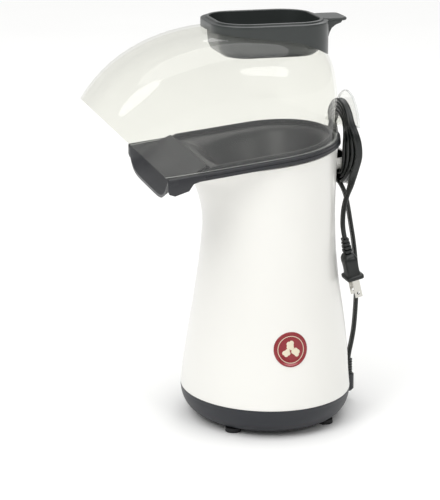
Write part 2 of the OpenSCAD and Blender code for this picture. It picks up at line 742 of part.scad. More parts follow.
skirt_drop = 18;
seat_gap = 0.35;
handle_y = cup_y + cup_l / 2 + flange_w;
function flange_outline(inset) = oblong(cup_l + 2 * (flange_w - inset),
    cup_w + 2 * (flange_w - inset) - 2, corner_r + flange_w - inset - 1);
module measuring_cup() {
    color("#4c4f50") place() difference() {
        union() {
            cup_solid(0, 0);
            translate([0, 0, rim_z - 2.6]) linear_extrude(2.6)
                polygon(flange_outline(0));
            translate([0, 0, rim_z - 2.6]) linear_extrude(2.6 + lip_h)
                polygon(oblong(cup_l + 2, cup_w + 2, corner_r + 1));
            difference() {
                translate([0, 0, rim_z - skirt_drop]) linear_extrude(skirt_drop - 2) difference() {
                    polygon(flange_outline(0));
                    polygon(flange_outline(2));
                }
                loft(hood_rings(-seat_gap));
            }
            translate([-handle_w / 2, handle_y - 4, handle_top - 2.6]) cube([handle_w, handle_l, 2.6]);
            for (s = [-1, 1]) translate([s * (handle_w / 2 - 1) - 1, handle_y - 3, 0]) rotate([90, 0, 90])
                linear_extrude(2) polygon([[0, handle_top - 16], [5, handle_top - 16], [7, handle_top - 10],
                    [11, handle_top - 6.4], [handle_l - 2, handle_top - 4.6],
                    [handle_l - 1, handle_top - 2], [0, handle_top - 2]]);
        }
        cup_solid(-cup_t, cup_t);
        translate([0, 0, rim_z - 1]) linear_extrude(20)
            polygon(oblong(cup_l - 2 * cup_t, cup_w - 2 * cup_t, corner_r - cup_t));
    }
}

// ---- cord

lead_route = [[-6, 80.2, 40], [-5.8, 81.4, 48], [-5.2, 83.2, 58], [-4.2, 84.6, 70], [-3, 85.2, 84],
    [-2, 85.5, 100], [-0.6, 85, 117], [1, 83.2, 135], [2.8, 80.4, 153], [5, 76.8, 170], [7.4, 73.2, 186],
    [9, 70.2, 197], [8, 66.4, 206]];
tail_route = [[28.4, 70.6, 218], [27.6, 68.6, 209], [27.2, 65.6, 200], [27.8, 63, 191], [29, 61.6, 182],
    [30, 61.4, 173], [30.4, 63, 163]];
coil_in = hook_r + 0.4;
coil_out = coil_in + cord_turns * (cord_t + 0.1);
coil_y = deck_rear + 1.2;
coil_d = hook_y - 0.5 - coil_y;
bulge_y = 77.5;
bulge_in = 16;

module stadium(r) {
    translate([0, hook_top_z]) circle(r = r);
    translate([0, hook_low_z]) circle(r = r);
    translate([-r, hook_low_z]) square([2 * r, hook_top_z - hook_low_z]);
}

module coil_ring(depth) {
    rotate([90, 0, 0]) mirror([0, 0, 1]) linear_extrude(depth) difference() {
        stadium(coil_out);
        stadium(coil_in);
    }
}

module cord_coil() {
    color("#16201d") place() {
        translate([0, coil_y, 0]) coil_ring(coil_d);
        intersection() {
            translate([0, coil_y, 0]) coil_ring(bulge_y - coil_y);
            for (s = [-1, 1]) translate([s * (bulge_in + 30) - 30, coil_y, lower_neck_z + 0.5])
                cube([60, 40, neck_low - lower_neck_z - 1.5]);
        }
    }
}

module cord_lead() {
    color("#16201d") place() sweep(spline(lead_route, 2), cord_w / 2, cord_t / 2, 12, [1, 0, 0]);
}

module cord_tail() {
    color("#16201d") place() sweep(spline(tail_route, 3), cord_w / 2, cord_t / 2, 12, [1, 0, 0]);
}

relief_z = foot_h + 9;
relief_top = lead_route[0][2];
module strain_relief() {
    color("#16201d") place() translate([gland_pos[0], gland_pos[1], relief_z]) {
        cylinder(r = gland_r - 1.5, h = 12);
        translate([0, 0, 12])
            cylinder(r1 = gland_r - 1.5, r2 = gland_r - 2, h = relief_top - relief_z - 12);
    }
}

plug_top = tail_route[len(tail_route) - 1];
plug_lean = 13;
module plug_frame() { translate(plug_top) rotate([plug_lean, 0, 0]) rotate([180, 0, 0]) children(); }

module plug_body() {
    color("#16201d") place() plug_frame() difference() {
        union() {
            for (i = [0 : 3]) translate([-4.5 - 0.3 * i, -3 - 0.3 * i, 3.4 * i])
                cube([9 + 0.6 * i, 6 + 0.6 * i, 2]);
            translate([-3.8, -2.4, 0]) cube([7.6, 4.8, 15]);
            translate([-9, -6, 14]) cube([18, 12, 20]);
            translate([-11, -8, 34]) cube([22, 16, 3]);
        }
    }
}

module plug_blades() {
    color("#c8c4b4") place() plug_frame() for (s = [-1, 1])
        translate([s * 6.35 - 0.75, -3.2, 37]) difference() {
            cube([1.5, 6.4, 17]);
            translate([-1, 3.2, 13]) rotate([0, 90, 0]) cylinder(r = 1.5, h = 4);
        }
}

base_pan();
foot(-1, -1);  // foot_front_left
foot(1, -1);  // foot_front_right
foot(-1, 1);  // foot_rear_left
foot(1, 1);  // foot_rear_right
base_screws();
housing();
badge();
chute_tray();
chamber_gasket();
chamber_screws();
popping_chamber();
heater_shroud();
heater_frame();
heating_coil();
thermostat();
thermal_fuse();
fan_housing();
fan_screws();
fan_impeller();
fan_nut();
motor_can();
motor_end_cap();
motor_magnets();
bush(fan_z - 4.6);  // bush_upper
bush(can_bot - 2);  // bush_lower
motor_shaft();
motor_armature();
motor_screws();
rectifier_board();
wiring();
hood();
measuring_cup();
strain_relief();
cord_lead();
cord_coil();
cord_tail();
plug_body();
plug_blades();
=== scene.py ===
"""The look of a hot-air popcorn popper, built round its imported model.

Shapes are laid out in millimetres from the popping chamber's axis, with the spout towards -Y, and one
function, at(), puts them in the frame.
"""

import logging
import math
from dataclasses import dataclass
from enum import Enum
from typing import Callable, Sequence

import bmesh
import bpy
from mathutils import Matrix, Vector


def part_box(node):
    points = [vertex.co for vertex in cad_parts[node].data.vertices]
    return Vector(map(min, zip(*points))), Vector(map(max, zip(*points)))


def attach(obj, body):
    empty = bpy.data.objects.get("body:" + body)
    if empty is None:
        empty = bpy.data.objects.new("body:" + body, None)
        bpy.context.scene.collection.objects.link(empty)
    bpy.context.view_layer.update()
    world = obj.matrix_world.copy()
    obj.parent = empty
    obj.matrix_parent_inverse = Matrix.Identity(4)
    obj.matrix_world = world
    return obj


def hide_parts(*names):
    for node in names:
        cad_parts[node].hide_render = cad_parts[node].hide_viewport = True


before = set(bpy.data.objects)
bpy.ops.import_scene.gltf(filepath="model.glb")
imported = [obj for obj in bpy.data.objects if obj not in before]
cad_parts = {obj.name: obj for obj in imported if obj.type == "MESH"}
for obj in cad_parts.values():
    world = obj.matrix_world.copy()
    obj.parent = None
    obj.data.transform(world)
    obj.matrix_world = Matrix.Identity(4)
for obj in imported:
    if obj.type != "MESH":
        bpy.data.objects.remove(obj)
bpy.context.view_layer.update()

LOG = logging.getLogger("popper")
MM = 0.001
# The deck's tilt in degrees and its slope, which the housing's top and the hood's lower rim share
DECK_TILT = 6.6
DECK_SLOPE = math.tan(math.radians(DECK_TILT))
# Where the housing stands on the pan, in millimetres above the table
SEAM_Z = 27.0
Outline = Callable[[float], Vector]
Route = tuple[tuple[float, float, float], ...]


def chamber_axis_y() -> float:
    """Returns the frame's y of the popping chamber's axis, in metres."""
    low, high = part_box("popping_chamber")
    return (low.y + high.y) / 2


AXIS_Y = chamber_axis_y()


def at(x: float, y: float, z: float) -> Vector:
    """Puts a point in the frame.

    Args:
        x, y, z: millimetres from the chamber's axis and the table.

    Returns:
        The point in the frame, in metres.
    """
    return Vector((x * MM, AXIS_Y + y * MM, z * MM))


def signed_power(value: float, power: float) -> float:
    """Returns value's magnitude raised to power, with value's sign."""
    return math.copysign(abs(value) ** power, value)


def mix(a: float, b: float, share: float) -> float:
    """Returns the number that share of the way from a to b."""
    return a + (b - a) * share


def spline(points: Sequence[Sequence[float]], steps: int) -> list[list[float]]:
    """Runs a smooth curve through rows of numbers.

    Args:
        points: the rows it passes through, each with the same count of numbers.
        steps: stretches between two neighbouring rows.

    Returns:
        The rows along the curve, ends included.
    """
    made = []
    last = len(points) - 1
    for i in range(last):
        p0, p1, p2, p3 = (points[min(max(k, 0), last)] for k in (i - 1, i, i + 1, i + 2))
        for j in range(steps + (i == last - 1)):
            t = j / steps
            made.append([0.5 * (2 * b + (c - a) * t + (2 * a - 5 * b + 4 * c - d) * t * t
                                + (3 * b - a - 3 * c + d) * t ** 3)
                         for a, b, c, d in zip(p0, p1, p2, p3)])
    return made


# ---- finishes


class Surface(Enum):
    """How a finish's surface was made, which sets its fine pattern."""

    MOULDED = "moulded"
    BRUSHED = "brushed"
    CAST = "cast"
    PRESSED = "pressed"
    WOUND = "wound"


@dataclass(frozen=True)
class Finish:
    """One real material and how it was made.

    rough and metallic are the shader's own values, grain_mm is the pattern's spacing, relief_mm its depth,
    and drift is the share by which colour and roughness wander over the piece.
    """

    name: str
    slot: str
    colour: str
    rough: float
    surface: Surface
    metallic: float = 0.0
    grain_mm: float = 0.8
    relief_mm: float = 0.01
    drift: float = 0.04
    coat: float = 0.0

    def material(self) -> bpy.types.Material:
        """Returns the finish's material, made on the first call."""
        return bpy.data.materials.get(self.name) or solid_material(self)


# Glossy moulded ABS: a soft pearl-like gloss, with a flow that barely wanders
HOUSING_ABS = Finish("housing_abs_gloss_moulded", "housing_white", "#EEEDE8", 0.28, Surface.MOULDED,
                     grain_mm=1.6, relief_mm=0.003, drift=0.01, coat=0.3)
# Spark-eroded polypropylene: charcoal with a blue cast and a fine even texture
PAN_PP = Finish("pan_polypropylene_textured", "pan_charcoal", "#22242A", 0.45, Surface.MOULDED,
                grain_mm=0.7, relief_mm=0.02, drift=0.08)
# Heat-proof nylon: dark, satin, and pale where light grazes it
DECK_NYLON = Finish("deck_nylon_satin_moulded", "deck_charcoal", "#26272B", 0.38, Surface.MOULDED,
                    grain_mm=0.5, relief_mm=0.004, drift=0.06)
# Semi-gloss moulded nylon, a little greener than the deck
CUP_NYLON = Finish("cup_nylon_semigloss", "cup_charcoal", "#303433", 0.32, Surface.MOULDED,
                   grain_mm=0.7, relief_mm=0.01, drift=0.06, coat=0.15)
# Printed foil under clear lacquer
BADGE_FOIL = Finish("badge_foil_lacquered", "badge_red", "#8E1822", 0.28, Surface.BRUSHED,
                    metallic=0.25, grain_mm=0.3, relief_mm=0.002, coat=0.8)
BADGE_PRINT = Finish("badge_cream_print", "badge_red", "#E3DAC2", 0.5, Surface.MOULDED, drift=0.05)
# Deep drawn aluminium with a satin anodised skin
DRAWN_ALUMINIUM = Finish("drawn_aluminium_anodised", "chamber_aluminium", "#C9CCD0", 0.32, Surface.BRUSHED,
                         metallic=1.0, grain_mm=0.5, relief_mm=0.004)
# Zinc plated steel: bluish and a little cloudy
ZINC_STEEL = Finish("steel_zinc_plated", "plated_steel", "#B7BABF", 0.35, Surface.CAST,
                    metallic=1.0, grain_mm=1.5, relief_mm=0.004, drift=0.1)
MICA_SHEET = Finish("mica_sheet_pressed", "mica", "#B59F72", 0.4, Surface.PRESSED, grain_mm=2.0,
                    relief_mm=0.02, drift=0.2)
HEATER_WIRE = Finish("nichrome_wire_oxidised", "heater_wire", "#6B6058", 0.5, Surface.WOUND,
                     metallic=1.0, grain_mm=1.2, relief_mm=0.08)
SINTERED_BRONZE = Finish("bronze_sintered", "bronze", "#B0854A", 0.45, Surface.CAST, metallic=1.0,
                         grain_mm=0.3, relief_mm=0.01)
FERRITE = Finish("ferrite_pressed", "magnet_ferrite", "#3E3F42", 0.6, Surface.CAST, grain_mm=0.4)
COPPER_WINDING = Finish("copper_wire_enamelled", "winding", "#A35A2C", 0.3, Surface.WOUND, metallic=0.8,
                        grain_mm=0.6, relief_mm=0.1)
FAN_NYLON = Finish("fan_nylon_glass_filled", "fan_black", "#26282C", 0.5, Surface.MOULDED, grain_mm=0.4,
                   relief_mm=0.02)
FOOT_RUBBER = Finish("rubber_feet_moulded", "foot_rubber", "#1D1D1F", 0.75, Surface.MOULDED, grain_mm=0.5,
                     relief_mm=0.03)
FIBRE_FELT = Finish("fibre_gasket_pressed", "gasket_felt", "#CFC9BA", 0.9, Surface.PRESSED, grain_mm=0.8,
                    relief_mm=0.08, drift=0.15)
BOARD_LAMINATE = Finish("board_laminate_masked", "board_green", "#1F5A30", 0.35, Surface.PRESSED,
                        grain_mm=0.6, relief_mm=0.01, coat=0.4)
LEAD_PVC = Finish("lead_pvc_extruded", "lead_insulation", "#2E5C99", 0.4, Surface.MOULDED)
# Extruded PVC with a green-black cast and soft long highlights
CORD_PVC = Finish("cord_pvc_extruded", "cord_black", "#0C110F", 0.3, Surface.MOULDED, grain_mm=1.1,
                  relief_mm=0.015, drift=0.1)
NICKEL_BRASS = Finish("brass_nickel_plated", "blade_nickel", "#C8C6C0", 0.22, Surface.BRUSHED,
                      metallic=1.0, grain_mm=0.2, relief_mm=0.003)


def linear(colour: str, scale: float = 1.0) -> tuple[float, float, float, float]:
    """Turns an sRGB colour to linear light.

    Args:
        colour: six hex digits after a hash sign.
        scale: multiplies the linear value.

    Returns:
        Red, green, blue and an alpha of 1.
    """
    made = []
    for k in (1, 3, 5):
        v = int(colour[k:k + 2], 16) / 255
        v = v / 12.92 if v <= 0.04045 else ((v + 0.055) / 1.055) ** 2.4
        made.append(min(v * scale, 1.0))
    return (*made, 1.0)


def add(tree: bpy.types.NodeTree, kind: str, inputs: dict | None = None, **settings) -> bpy.types.Node:
    """Adds a shader node.

    Args:
        tree: the material's node tree.
        kind: the node's type, without its ShaderNode start.
        inputs: what each input is linked to or set to, by name or number.
        settings: the node's own properties.

    Returns:
        The node.
    """
    node = tree.nodes.new("ShaderNode" + kind)
    for name, value in settings.items():
        setattr(node, name, value)
    for name, value in (inputs or {}).items():
        if isinstance(value, bpy.types.NodeSocket):
            tree.links.new(value, node.inputs[name])
        else:
            node.inputs[name].default_value = value
    return node


def new_tree(name: str) -> tuple[bpy.types.Material, bpy.types.NodeTree]:
    """Returns a new material of that name and its emptied node tree."""
    material = bpy.data.materials.new(name)
    material.use_nodes = True
    material.node_tree.nodes.clear()
    return material, material.node_tree


def pattern_height(tree: bpy.types.NodeTree, finish: Finish,
                   place: bpy.types.NodeSocket) -> bpy.types.NodeSocket:
    """Adds a finish's fine pattern.

    Args:
        tree: the material's node tree.
        finish: whose grain spacing and kind of surface are drawn.
        place: the Object coordinates.

    Returns:
        The pattern's height, from 0 to 1.
    """
    per_metre = 1 / (finish.grain_mm * MM)
    if finish.surface is Surface.BRUSHED:
        drawn = add(tree, "Mapping", {"Vector": place, "Scale": (1.0, 1.0, 0.04)})
        return add(tree, "TexNoise", {"Vector": drawn.outputs[0], "Scale": per_metre,
                                      "Detail": 4.0}).outputs[0]
    if finish.surface is Surface.WOUND:
        turns = add(tree, "TexWave", {"Vector": place, "Scale": per_metre / 6.28, "Distortion": 1.5},
                    wave_type="BANDS", bands_direction="Z")
        return turns.outputs["Fac"]
    if finish.surface is Surface.PRESSED:
        cells = add(tree, "TexVoronoi", {"Vector": place, "Scale": per_metre})
        return cells.outputs["Distance"]
    detail = 5.0 if finish.surface is Surface.CAST else 2.0
    return add(tree, "TexNoise", {"Vector": place, "Scale": per_metre, "Detail": detail}).outputs[0]


def solid_material(finish: Finish) -> bpy.types.Material:
    """Makes the material of an opaque finish.

    Args:
        finish: what the material shows.

    Returns:
        A material whose colour and roughness drift slowly and whose fine pattern is a bump.
    """
    material, tree = new_tree(finish.name)
    place = add(tree, "TexCoord").outputs["Object"]
    # Drift about 45 mm across, as flow in a mould or handling leaves it
    slow = add(tree, "TexNoise", {"Vector": place, "Scale": 22.0, "Detail": 3.0}).outputs[0]
    colour = add(tree, "Mix", {0: slow, 6: linear(finish.colour, 1 - finish.drift),
                               7: linear(finish.colour, 1 + finish.drift)}, data_type="RGBA")
    rough = add(tree, "MapRange", {"Value": slow, "From Min": 0.3, "From Max": 0.7,
                                   "To Min": finish.rough * (1 - 2 * finish.drift),
                                   "To Max": finish.rough * (1 + 2 * finish.drift)})
    height = pattern_height(tree, finish, place)
    bump = add(tree, "Bump", {"Height": height, "Strength": 0.5, "Distance": finish.relief_mm * MM})
    shader = add(tree, "BsdfPrincipled", {"Base Color": colour.outputs[2], "Roughness": rough.outputs[0],
                                          "Metallic": finish.metallic, "Coat Weight": finish.coat,
                                          "Coat Roughness": 0.12, "Normal": bump.outputs[0]})
    add(tree, "OutputMaterial", {"Surface": shader.outputs[0]})
    return material


def clear_polycarbonate() -> bpy.types.Material:
    """Returns the hood's material: clear moulded polycarbonate with a trace of haze."""
    name = "hood_polycarbonate_clear"
    if name in bpy.data.materials:
        return bpy.data.materials[name]
    material, tree = new_tree(name)
    place = add(tree, "TexCoord").outputs["Object"]
    # Moulding flow, waves about 30 mm long
    flow = add(tree, "TexNoise", {"Vector": place, "Scale": 33.0, "Detail": 1.0})
    bump = add(tree, "Bump", {"Height": flow.outputs[0], "Strength": 0.2, "Distance": 0.4 * MM})
    through = add(tree, "BsdfTransparent", {"Color": linear("#FBFBF9")})
    gloss = add(tree, "BsdfGlossy", {"Color": linear("#FFFFFF"), "Roughness": 0.06,
                                     "Normal": bump.outputs[0]})
    # The pane's gloss rises where it is seen edge on, on its outer side only
    facing = add(tree, "LayerWeight", {"Blend": 0.5, "Normal": bump.outputs[0]}).outputs["Facing"]
    rise = add(tree, "Math", {0: facing, 1: 3.5}, operation="POWER")
    edge = add(tree, "MapRange", {"Value": rise.outputs[0], "To Min": 0.03, "To Max": 0.45})
    back = add(tree, "NewGeometry").outputs["Backfacing"]
    outer = add(tree, "Math", {0: 1.0, 1: back}, operation="SUBTRACT")
    share = add(tree, "Math", {0: edge.outputs[0], 1: outer.outputs[0]}, operation="MULTIPLY")
    pane = add(tree, "MixShader", {0: share.outputs[0], 1: through.outputs[0], 2: gloss.outputs[0]})
    haze = add(tree, "BsdfDiffuse", {"Color": linear("#E9EAE8")})
    cloud = add(tree, "MapRange", {"Value": flow.outputs[0], "To Min": 0.01, "To Max": 0.03})
    whole = add(tree, "MixShader", {0: cloud.outputs[0], 1: pane.outputs[0], 2: haze.outputs[0]})
    add(tree, "OutputMaterial", {"Surface": whole.outputs[0]})
    return material


def polycarbonate_painted_edge_highlight() -> bpy.types.Material:
    """Returns the hood's cut edges, where the clear plastic gathers light: their pale tone is a painted
    highlight for it.
    """
    name = "hood_polycarbonate_painted_edge_highlight"
    if name in bpy.data.materials:
        return bpy.data.materials[name]
    material, tree = new_tree(name)
    place = add(tree, "TexCoord").outputs["Object"]
    # Fine streaks left by the trimming, about 1 mm apart
    streak = add(tree, "TexNoise", {"Vector": place, "Scale": 900.0, "Detail": 2.0}).outputs[0]
    # Painted highlight: the pale grey-white tone stands in for light gathered in the cut edges, while the
    # streaks are the trimming's own texture
    tone = add(tree, "Mix", {0: streak, 6: linear("#C9CCCB"), 7: linear("#E6E8E7")}, data_type="RGBA")
    body = add(tree, "BsdfPrincipled", {"Base Color": tone.outputs[2], "Roughness": 0.15, "IOR": 1.58})
    through = add(tree, "BsdfTransparent", {"Color": linear("#F4F5F4")})
    whole = add(tree, "MixShader", {0: 0.62, 1: through.outputs[0], 2: body.outputs[0]})
    add(tree, "OutputMaterial", {"Surface": whole.outputs[0]})
    return material


# ---- shaping tools


def add_sheet(bm: bmesh.types.BMesh, across: int, along: int, place: Callable[[int, int], Vector]) -> list:
    """Adds a grid of quads laid out by a function.

    Args:
        bm: the mesh that gets it.
        across, along: quads each way.
        place: gives the point of a column and a row.

    Returns:
        The sheet's faces.
    """
    verts = bmesh.ops.create_grid(bm, x_segments=across, y_segments=along, size=1.0)["verts"]
    for v in verts:
        v.co = place(round((v.co.x + 1) / 2 * across), round((v.co.y + 1) / 2 * along))
    return list({f for v in verts for f in v.link_faces})


def join_into(bm: bmesh.types.BMesh, other: bmesh.types.BMesh) -> None:
    """Adds another mesh to bm and frees it."""
    held = bpy.data.meshes.new("held")
    other.to_mesh(held)
    other.free()
    bm.from_mesh(held)
    bpy.data.meshes.remove(held)


def loft(bm: bmesh.types.BMesh, count: int, outlines: Sequence[Outline], closed: bool = False,
         caps: bool = False) -> None:
    """Skins a row of rings.

    Args:
        bm: the mesh that gets them.
        count: points round each ring.
        outlines: one outline for each ring, in order.
        closed: joins the last ring to the first, for a wall.
        caps: closes both ends, for a solid.
    """
    rows = [*outlines, outlines[0]] if closed else outlines
    own = bmesh.new()
    add_sheet(own, count, len(rows) - 1, lambda i, j: rows[j](i % count / count * math.tau))
    close_up(own, caps)
    join_into(bm, own)


def close_up(bm: bmesh.types.BMesh, caps: bool) -> None:
    """Merges a sheet's seam and, with caps, fills its open ends."""
    bmesh.ops.remove_doubles(bm, verts=bm.verts[:], dist=1e-6)
    if caps:
        bmesh.ops.holes_fill(bm, edges=[e for e in bm.edges if e.is_boundary], sides=0)


def thicken(bm: bmesh.types.BMesh, faces: list, shift: Vector) -> None:
    """Closes a sheet into a solid: its copy is shifted and joined round the edge."""
    made = bmesh.ops.extrude_face_region(bm, geom=faces, use_keep_orig=True)["geom"]
    bmesh.ops.translate(bm, verts=[g for g in made if isinstance(g, bmesh.types.BMVert)], vec=shift)


def slice_off(bm: bmesh.types.BMesh, point: Vector, normal: Vector) -> None:
    """Cuts away what lies on the side that normal points to, and fills the cut."""
    geom = bm.verts[:] + bm.edges[:] + bm.faces[:]
    made = bmesh.ops.bisect_plane(bm, geom=geom, dist=1e-7, plane_co=point, plane_no=normal, clear_outer=True)
    edges = [g for g in made["geom_cut"] if isinstance(g, bmesh.types.BMEdge)]
    bmesh.ops.triangle_fill(bm, use_beauty=True, edges=edges, normal=normal)


def to_object(bm: bmesh.types.BMesh, name: str, material: bpy.types.Material,
              sharp: float) -> bpy.types.Object:
    """Turns a finished mesh into an object.

    Args:
        bm: the mesh, which is freed.
        name: the object's name.
        material: its material.
        sharp: edges that turn more than this many degrees stay crisp.

    Returns:
        The object, at the origin.
    """
    bmesh.ops.remove_doubles(bm, verts=bm.verts[:], dist=1e-6)
    bmesh.ops.recalc_face_normals(bm, faces=bm.faces[:])
    mesh = bpy.data.meshes.new(name)
    bm.to_mesh(mesh)
    bm.free()
    mesh.shade_smooth()
    mesh.set_sharp_from_angle(angle=math.radians(sharp))
    mesh.materials.append(material)
    obj = bpy.data.objects.new(name, mesh)
    bpy.context.scene.collection.objects.link(obj)
    return obj


def add_to_object(obj: bpy.types.Object, bm: bmesh.types.BMesh, sharp: float) -> None:
    """Adds a mesh to an object's own, with edges over that angle in degrees kept crisp, and frees it."""
    whole = bmesh.new()
    whole.from_mesh(obj.data)
    bmesh.ops.recalc_face_normals(bm, faces=bm.faces[:])
    join_into(whole, bm)
    whole.to_mesh(obj.data)
    whole.free()
    obj.data.shade_smooth()
    obj.data.set_sharp_from_angle(angle=math.radians(sharp))


def settle(obj: bpy.types.Object, body: str, slot: str, nodes: Sequence[str]) -> bpy.types.Object:
    """Rides a finished piece on its body and hides the nodes that it stands for."""
    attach(obj, body)
    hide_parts(*nodes)
    LOG.info("%s: %d faces, on %s", obj.name, len(obj.data.polygons), body)
    return obj


def carve(obj: bpy.types.Object, cutter: bpy.types.Object, sharp: float) -> None:
    """Takes a cutter's volume out of a piece and removes the cutter."""
    hole = obj.modifiers.new("hole", "BOOLEAN")
    hole.operation = "DIFFERENCE"
    hole.solver = "EXACT"
    hole.object = cutter
    seen = obj.evaluated_get(bpy.context.evaluated_depsgraph_get())
    mesh = bpy.data.meshes.new_from_object(seen)
    obj.modifiers.clear()
    obj.data = mesh
    mesh.set_sharp_from_angle(angle=math.radians(sharp))
    bpy.data.objects.remove(cutter)


def oval(a: float, rear: float, front: float, z: float, slope: float = 0.0, n_rear: float = 2.0,
         n_front: float = 2.0, y0: float = 0.0) -> Outline:
    """An oval with its own depth and squareness at the rear and the front.

    Args:
        a: half width.
        rear, front: depths behind and ahead of y0.
        z: height at the chamber's axis.
        slope: rise of the height per millimetre towards the rear.
        n_rear, n_front: exponents, 2 for an ellipse and more for a squarer shape.
        y0: where the widest line lies.

    Returns:
        The outline.
    """
    def point(t: float) -> Vector:
        """Returns the oval's point at an angle."""
        c, s = math.cos(t), math.sin(t)
        n = n_rear if s > 0 else n_front
        y = y0 + (rear if s > 0 else front) * signed_power(s, 2 / n)
        return at(a * signed_power(c, 2 / n), y, z + slope * y)
    return point


def oblong(length: float, width: float, radius: float, z: float, y0: float) -> Outline:
    """A rectangle with round corners, centred on the plane x = 0 and on y0, at one height."""
    def point(t: float) -> Vector:
        """Returns the rectangle's point at an angle."""
        c, s = math.cos(t), math.sin(t)
        return at(math.copysign(width / 2 - radius, c) + radius * c,
                  y0 + math.copysign(length / 2 - radius, s) + radius * s, z)
    return point


# ---- studio


@dataclass
class Studio:
    """The camera, the lights and the pale floor."""

    azimuth: float = 75.0
    elevation: float = 15.0
    distance: float = 1.8
    lens_mm: float = 148.0
    sensor_mm: float = 36.0
    target: tuple[float, float, float] = (0.0, -41.5, 151.6)
    floor_half: float = 9.0

    def toward(self, azimuth: float, elevation: float) -> Vector:
        """Returns the unit vector from the popper towards that azimuth and elevation, in degrees."""
        a, e = math.radians(azimuth), math.radians(elevation)
        return Vector((math.sin(a) * math.cos(e), -math.cos(a) * math.cos(e), math.sin(e)))

    def build_camera(self) -> None:
        """Stands the camera off the popper's spout side."""
        data = bpy.data.cameras.new("camera")
        data.lens = self.lens_mm
        data.sensor_width = self.sensor_mm
        data.clip_end = 50.0
        camera = bpy.data.objects.new("camera", data)
        bpy.context.scene.collection.objects.link(camera)
        back = self.toward(self.azimuth, self.elevation)
        camera.location = at(*self.target) + back * self.distance
        camera.rotation_mode = "QUATERNION"
        camera.rotation_quaternion = (-back).to_track_quat("-Z", "Y")
        bpy.context.scene.camera = camera

    def aim(self, lamp: bpy.types.Object, azimuth: float, elevation: float, distance: float) -> None:
        """Stands a lamp off the popper and turns it there."""
        back = self.toward(azimuth, elevation)
        lamp.location = at(*self.target) + back * distance
        lamp.rotation_mode = "QUATERNION"
        lamp.rotation_quaternion = (-back).to_track_quat("-Z", "Y")
        bpy.context.scene.collection.objects.link(lamp)

    def build_lights(self) -> None:
        """Hangs the soft boxes and a wide overhead, and sets an even surround."""
        for name, azimuth, elevation, distance, size, watts in (
                ("key", 38.0, 38.0, 1.5, 0.7, 6.0),
                ("side", 112.0, 28.0, 1.5, 0.4, 1.8),
                ("rear", 245.0, 40.0, 1.8, 0.9, 3.0)):
            data = bpy.data.lights.new(name, "AREA")
            data.shape = "DISK"
            data.size = size
            data.energy = watts
            self.aim(bpy.data.objects.new(name, data), azimuth, elevation, distance)
        overhead = bpy.data.lights.new("overhead", "SUN")
        overhead.energy = 1.9
        overhead.angle = math.radians(70)
        self.aim(bpy.data.objects.new("overhead", overhead), 60.0, 82.0, 2.0)
        world = bpy.data.worlds.new("surround")
        world.use_nodes = True
        world.node_tree.nodes["Background"].inputs["Color"].default_value = linear("#FFFFFF")
        world.node_tree.nodes["Background"].inputs["Strength"].default_value = 0.42
        bpy.context.scene.world = world
        bpy.context.scene.view_settings.view_transform = "Standard"

    def build_floor(self) -> None:
        """Lays the pale floor."""
        bm = bmesh.new()
        bmesh.ops.create_grid(bm, x_segments=1, y_segments=1, size=self.floor_half)
        # Painted board: nearly white, matt, with a slow unevenness about 0.3 m across
        material, tree = new_tree("floor_board_painted_matt")
        place = add(tree, "TexCoord").outputs["Object"]
        slow = add(tree, "TexNoise", {"Vector": place, "Scale": 3.0, "Detail": 2.0}).outputs[0]
        tint = add(tree, "Mix", {0: slow, 6: linear("#F8F8F7"), 7: linear("#FCFCFB")}, data_type="RGBA")
        shader = add(tree, "BsdfPrincipled", {"Base Color": tint.outputs[2], "Roughness": 0.8,
                                              "Specular IOR Level": 0.1})
        add(tree, "OutputMaterial", {"Surface": shader.outputs[0]})
        floor = to_object(bm, "floor", material, 30)

    def build(self) -> None:
        """Makes the camera, the lights and the floor."""
        self.build_camera()
        self.build_lights()
        self.build_floor()


# ---- cord and plug


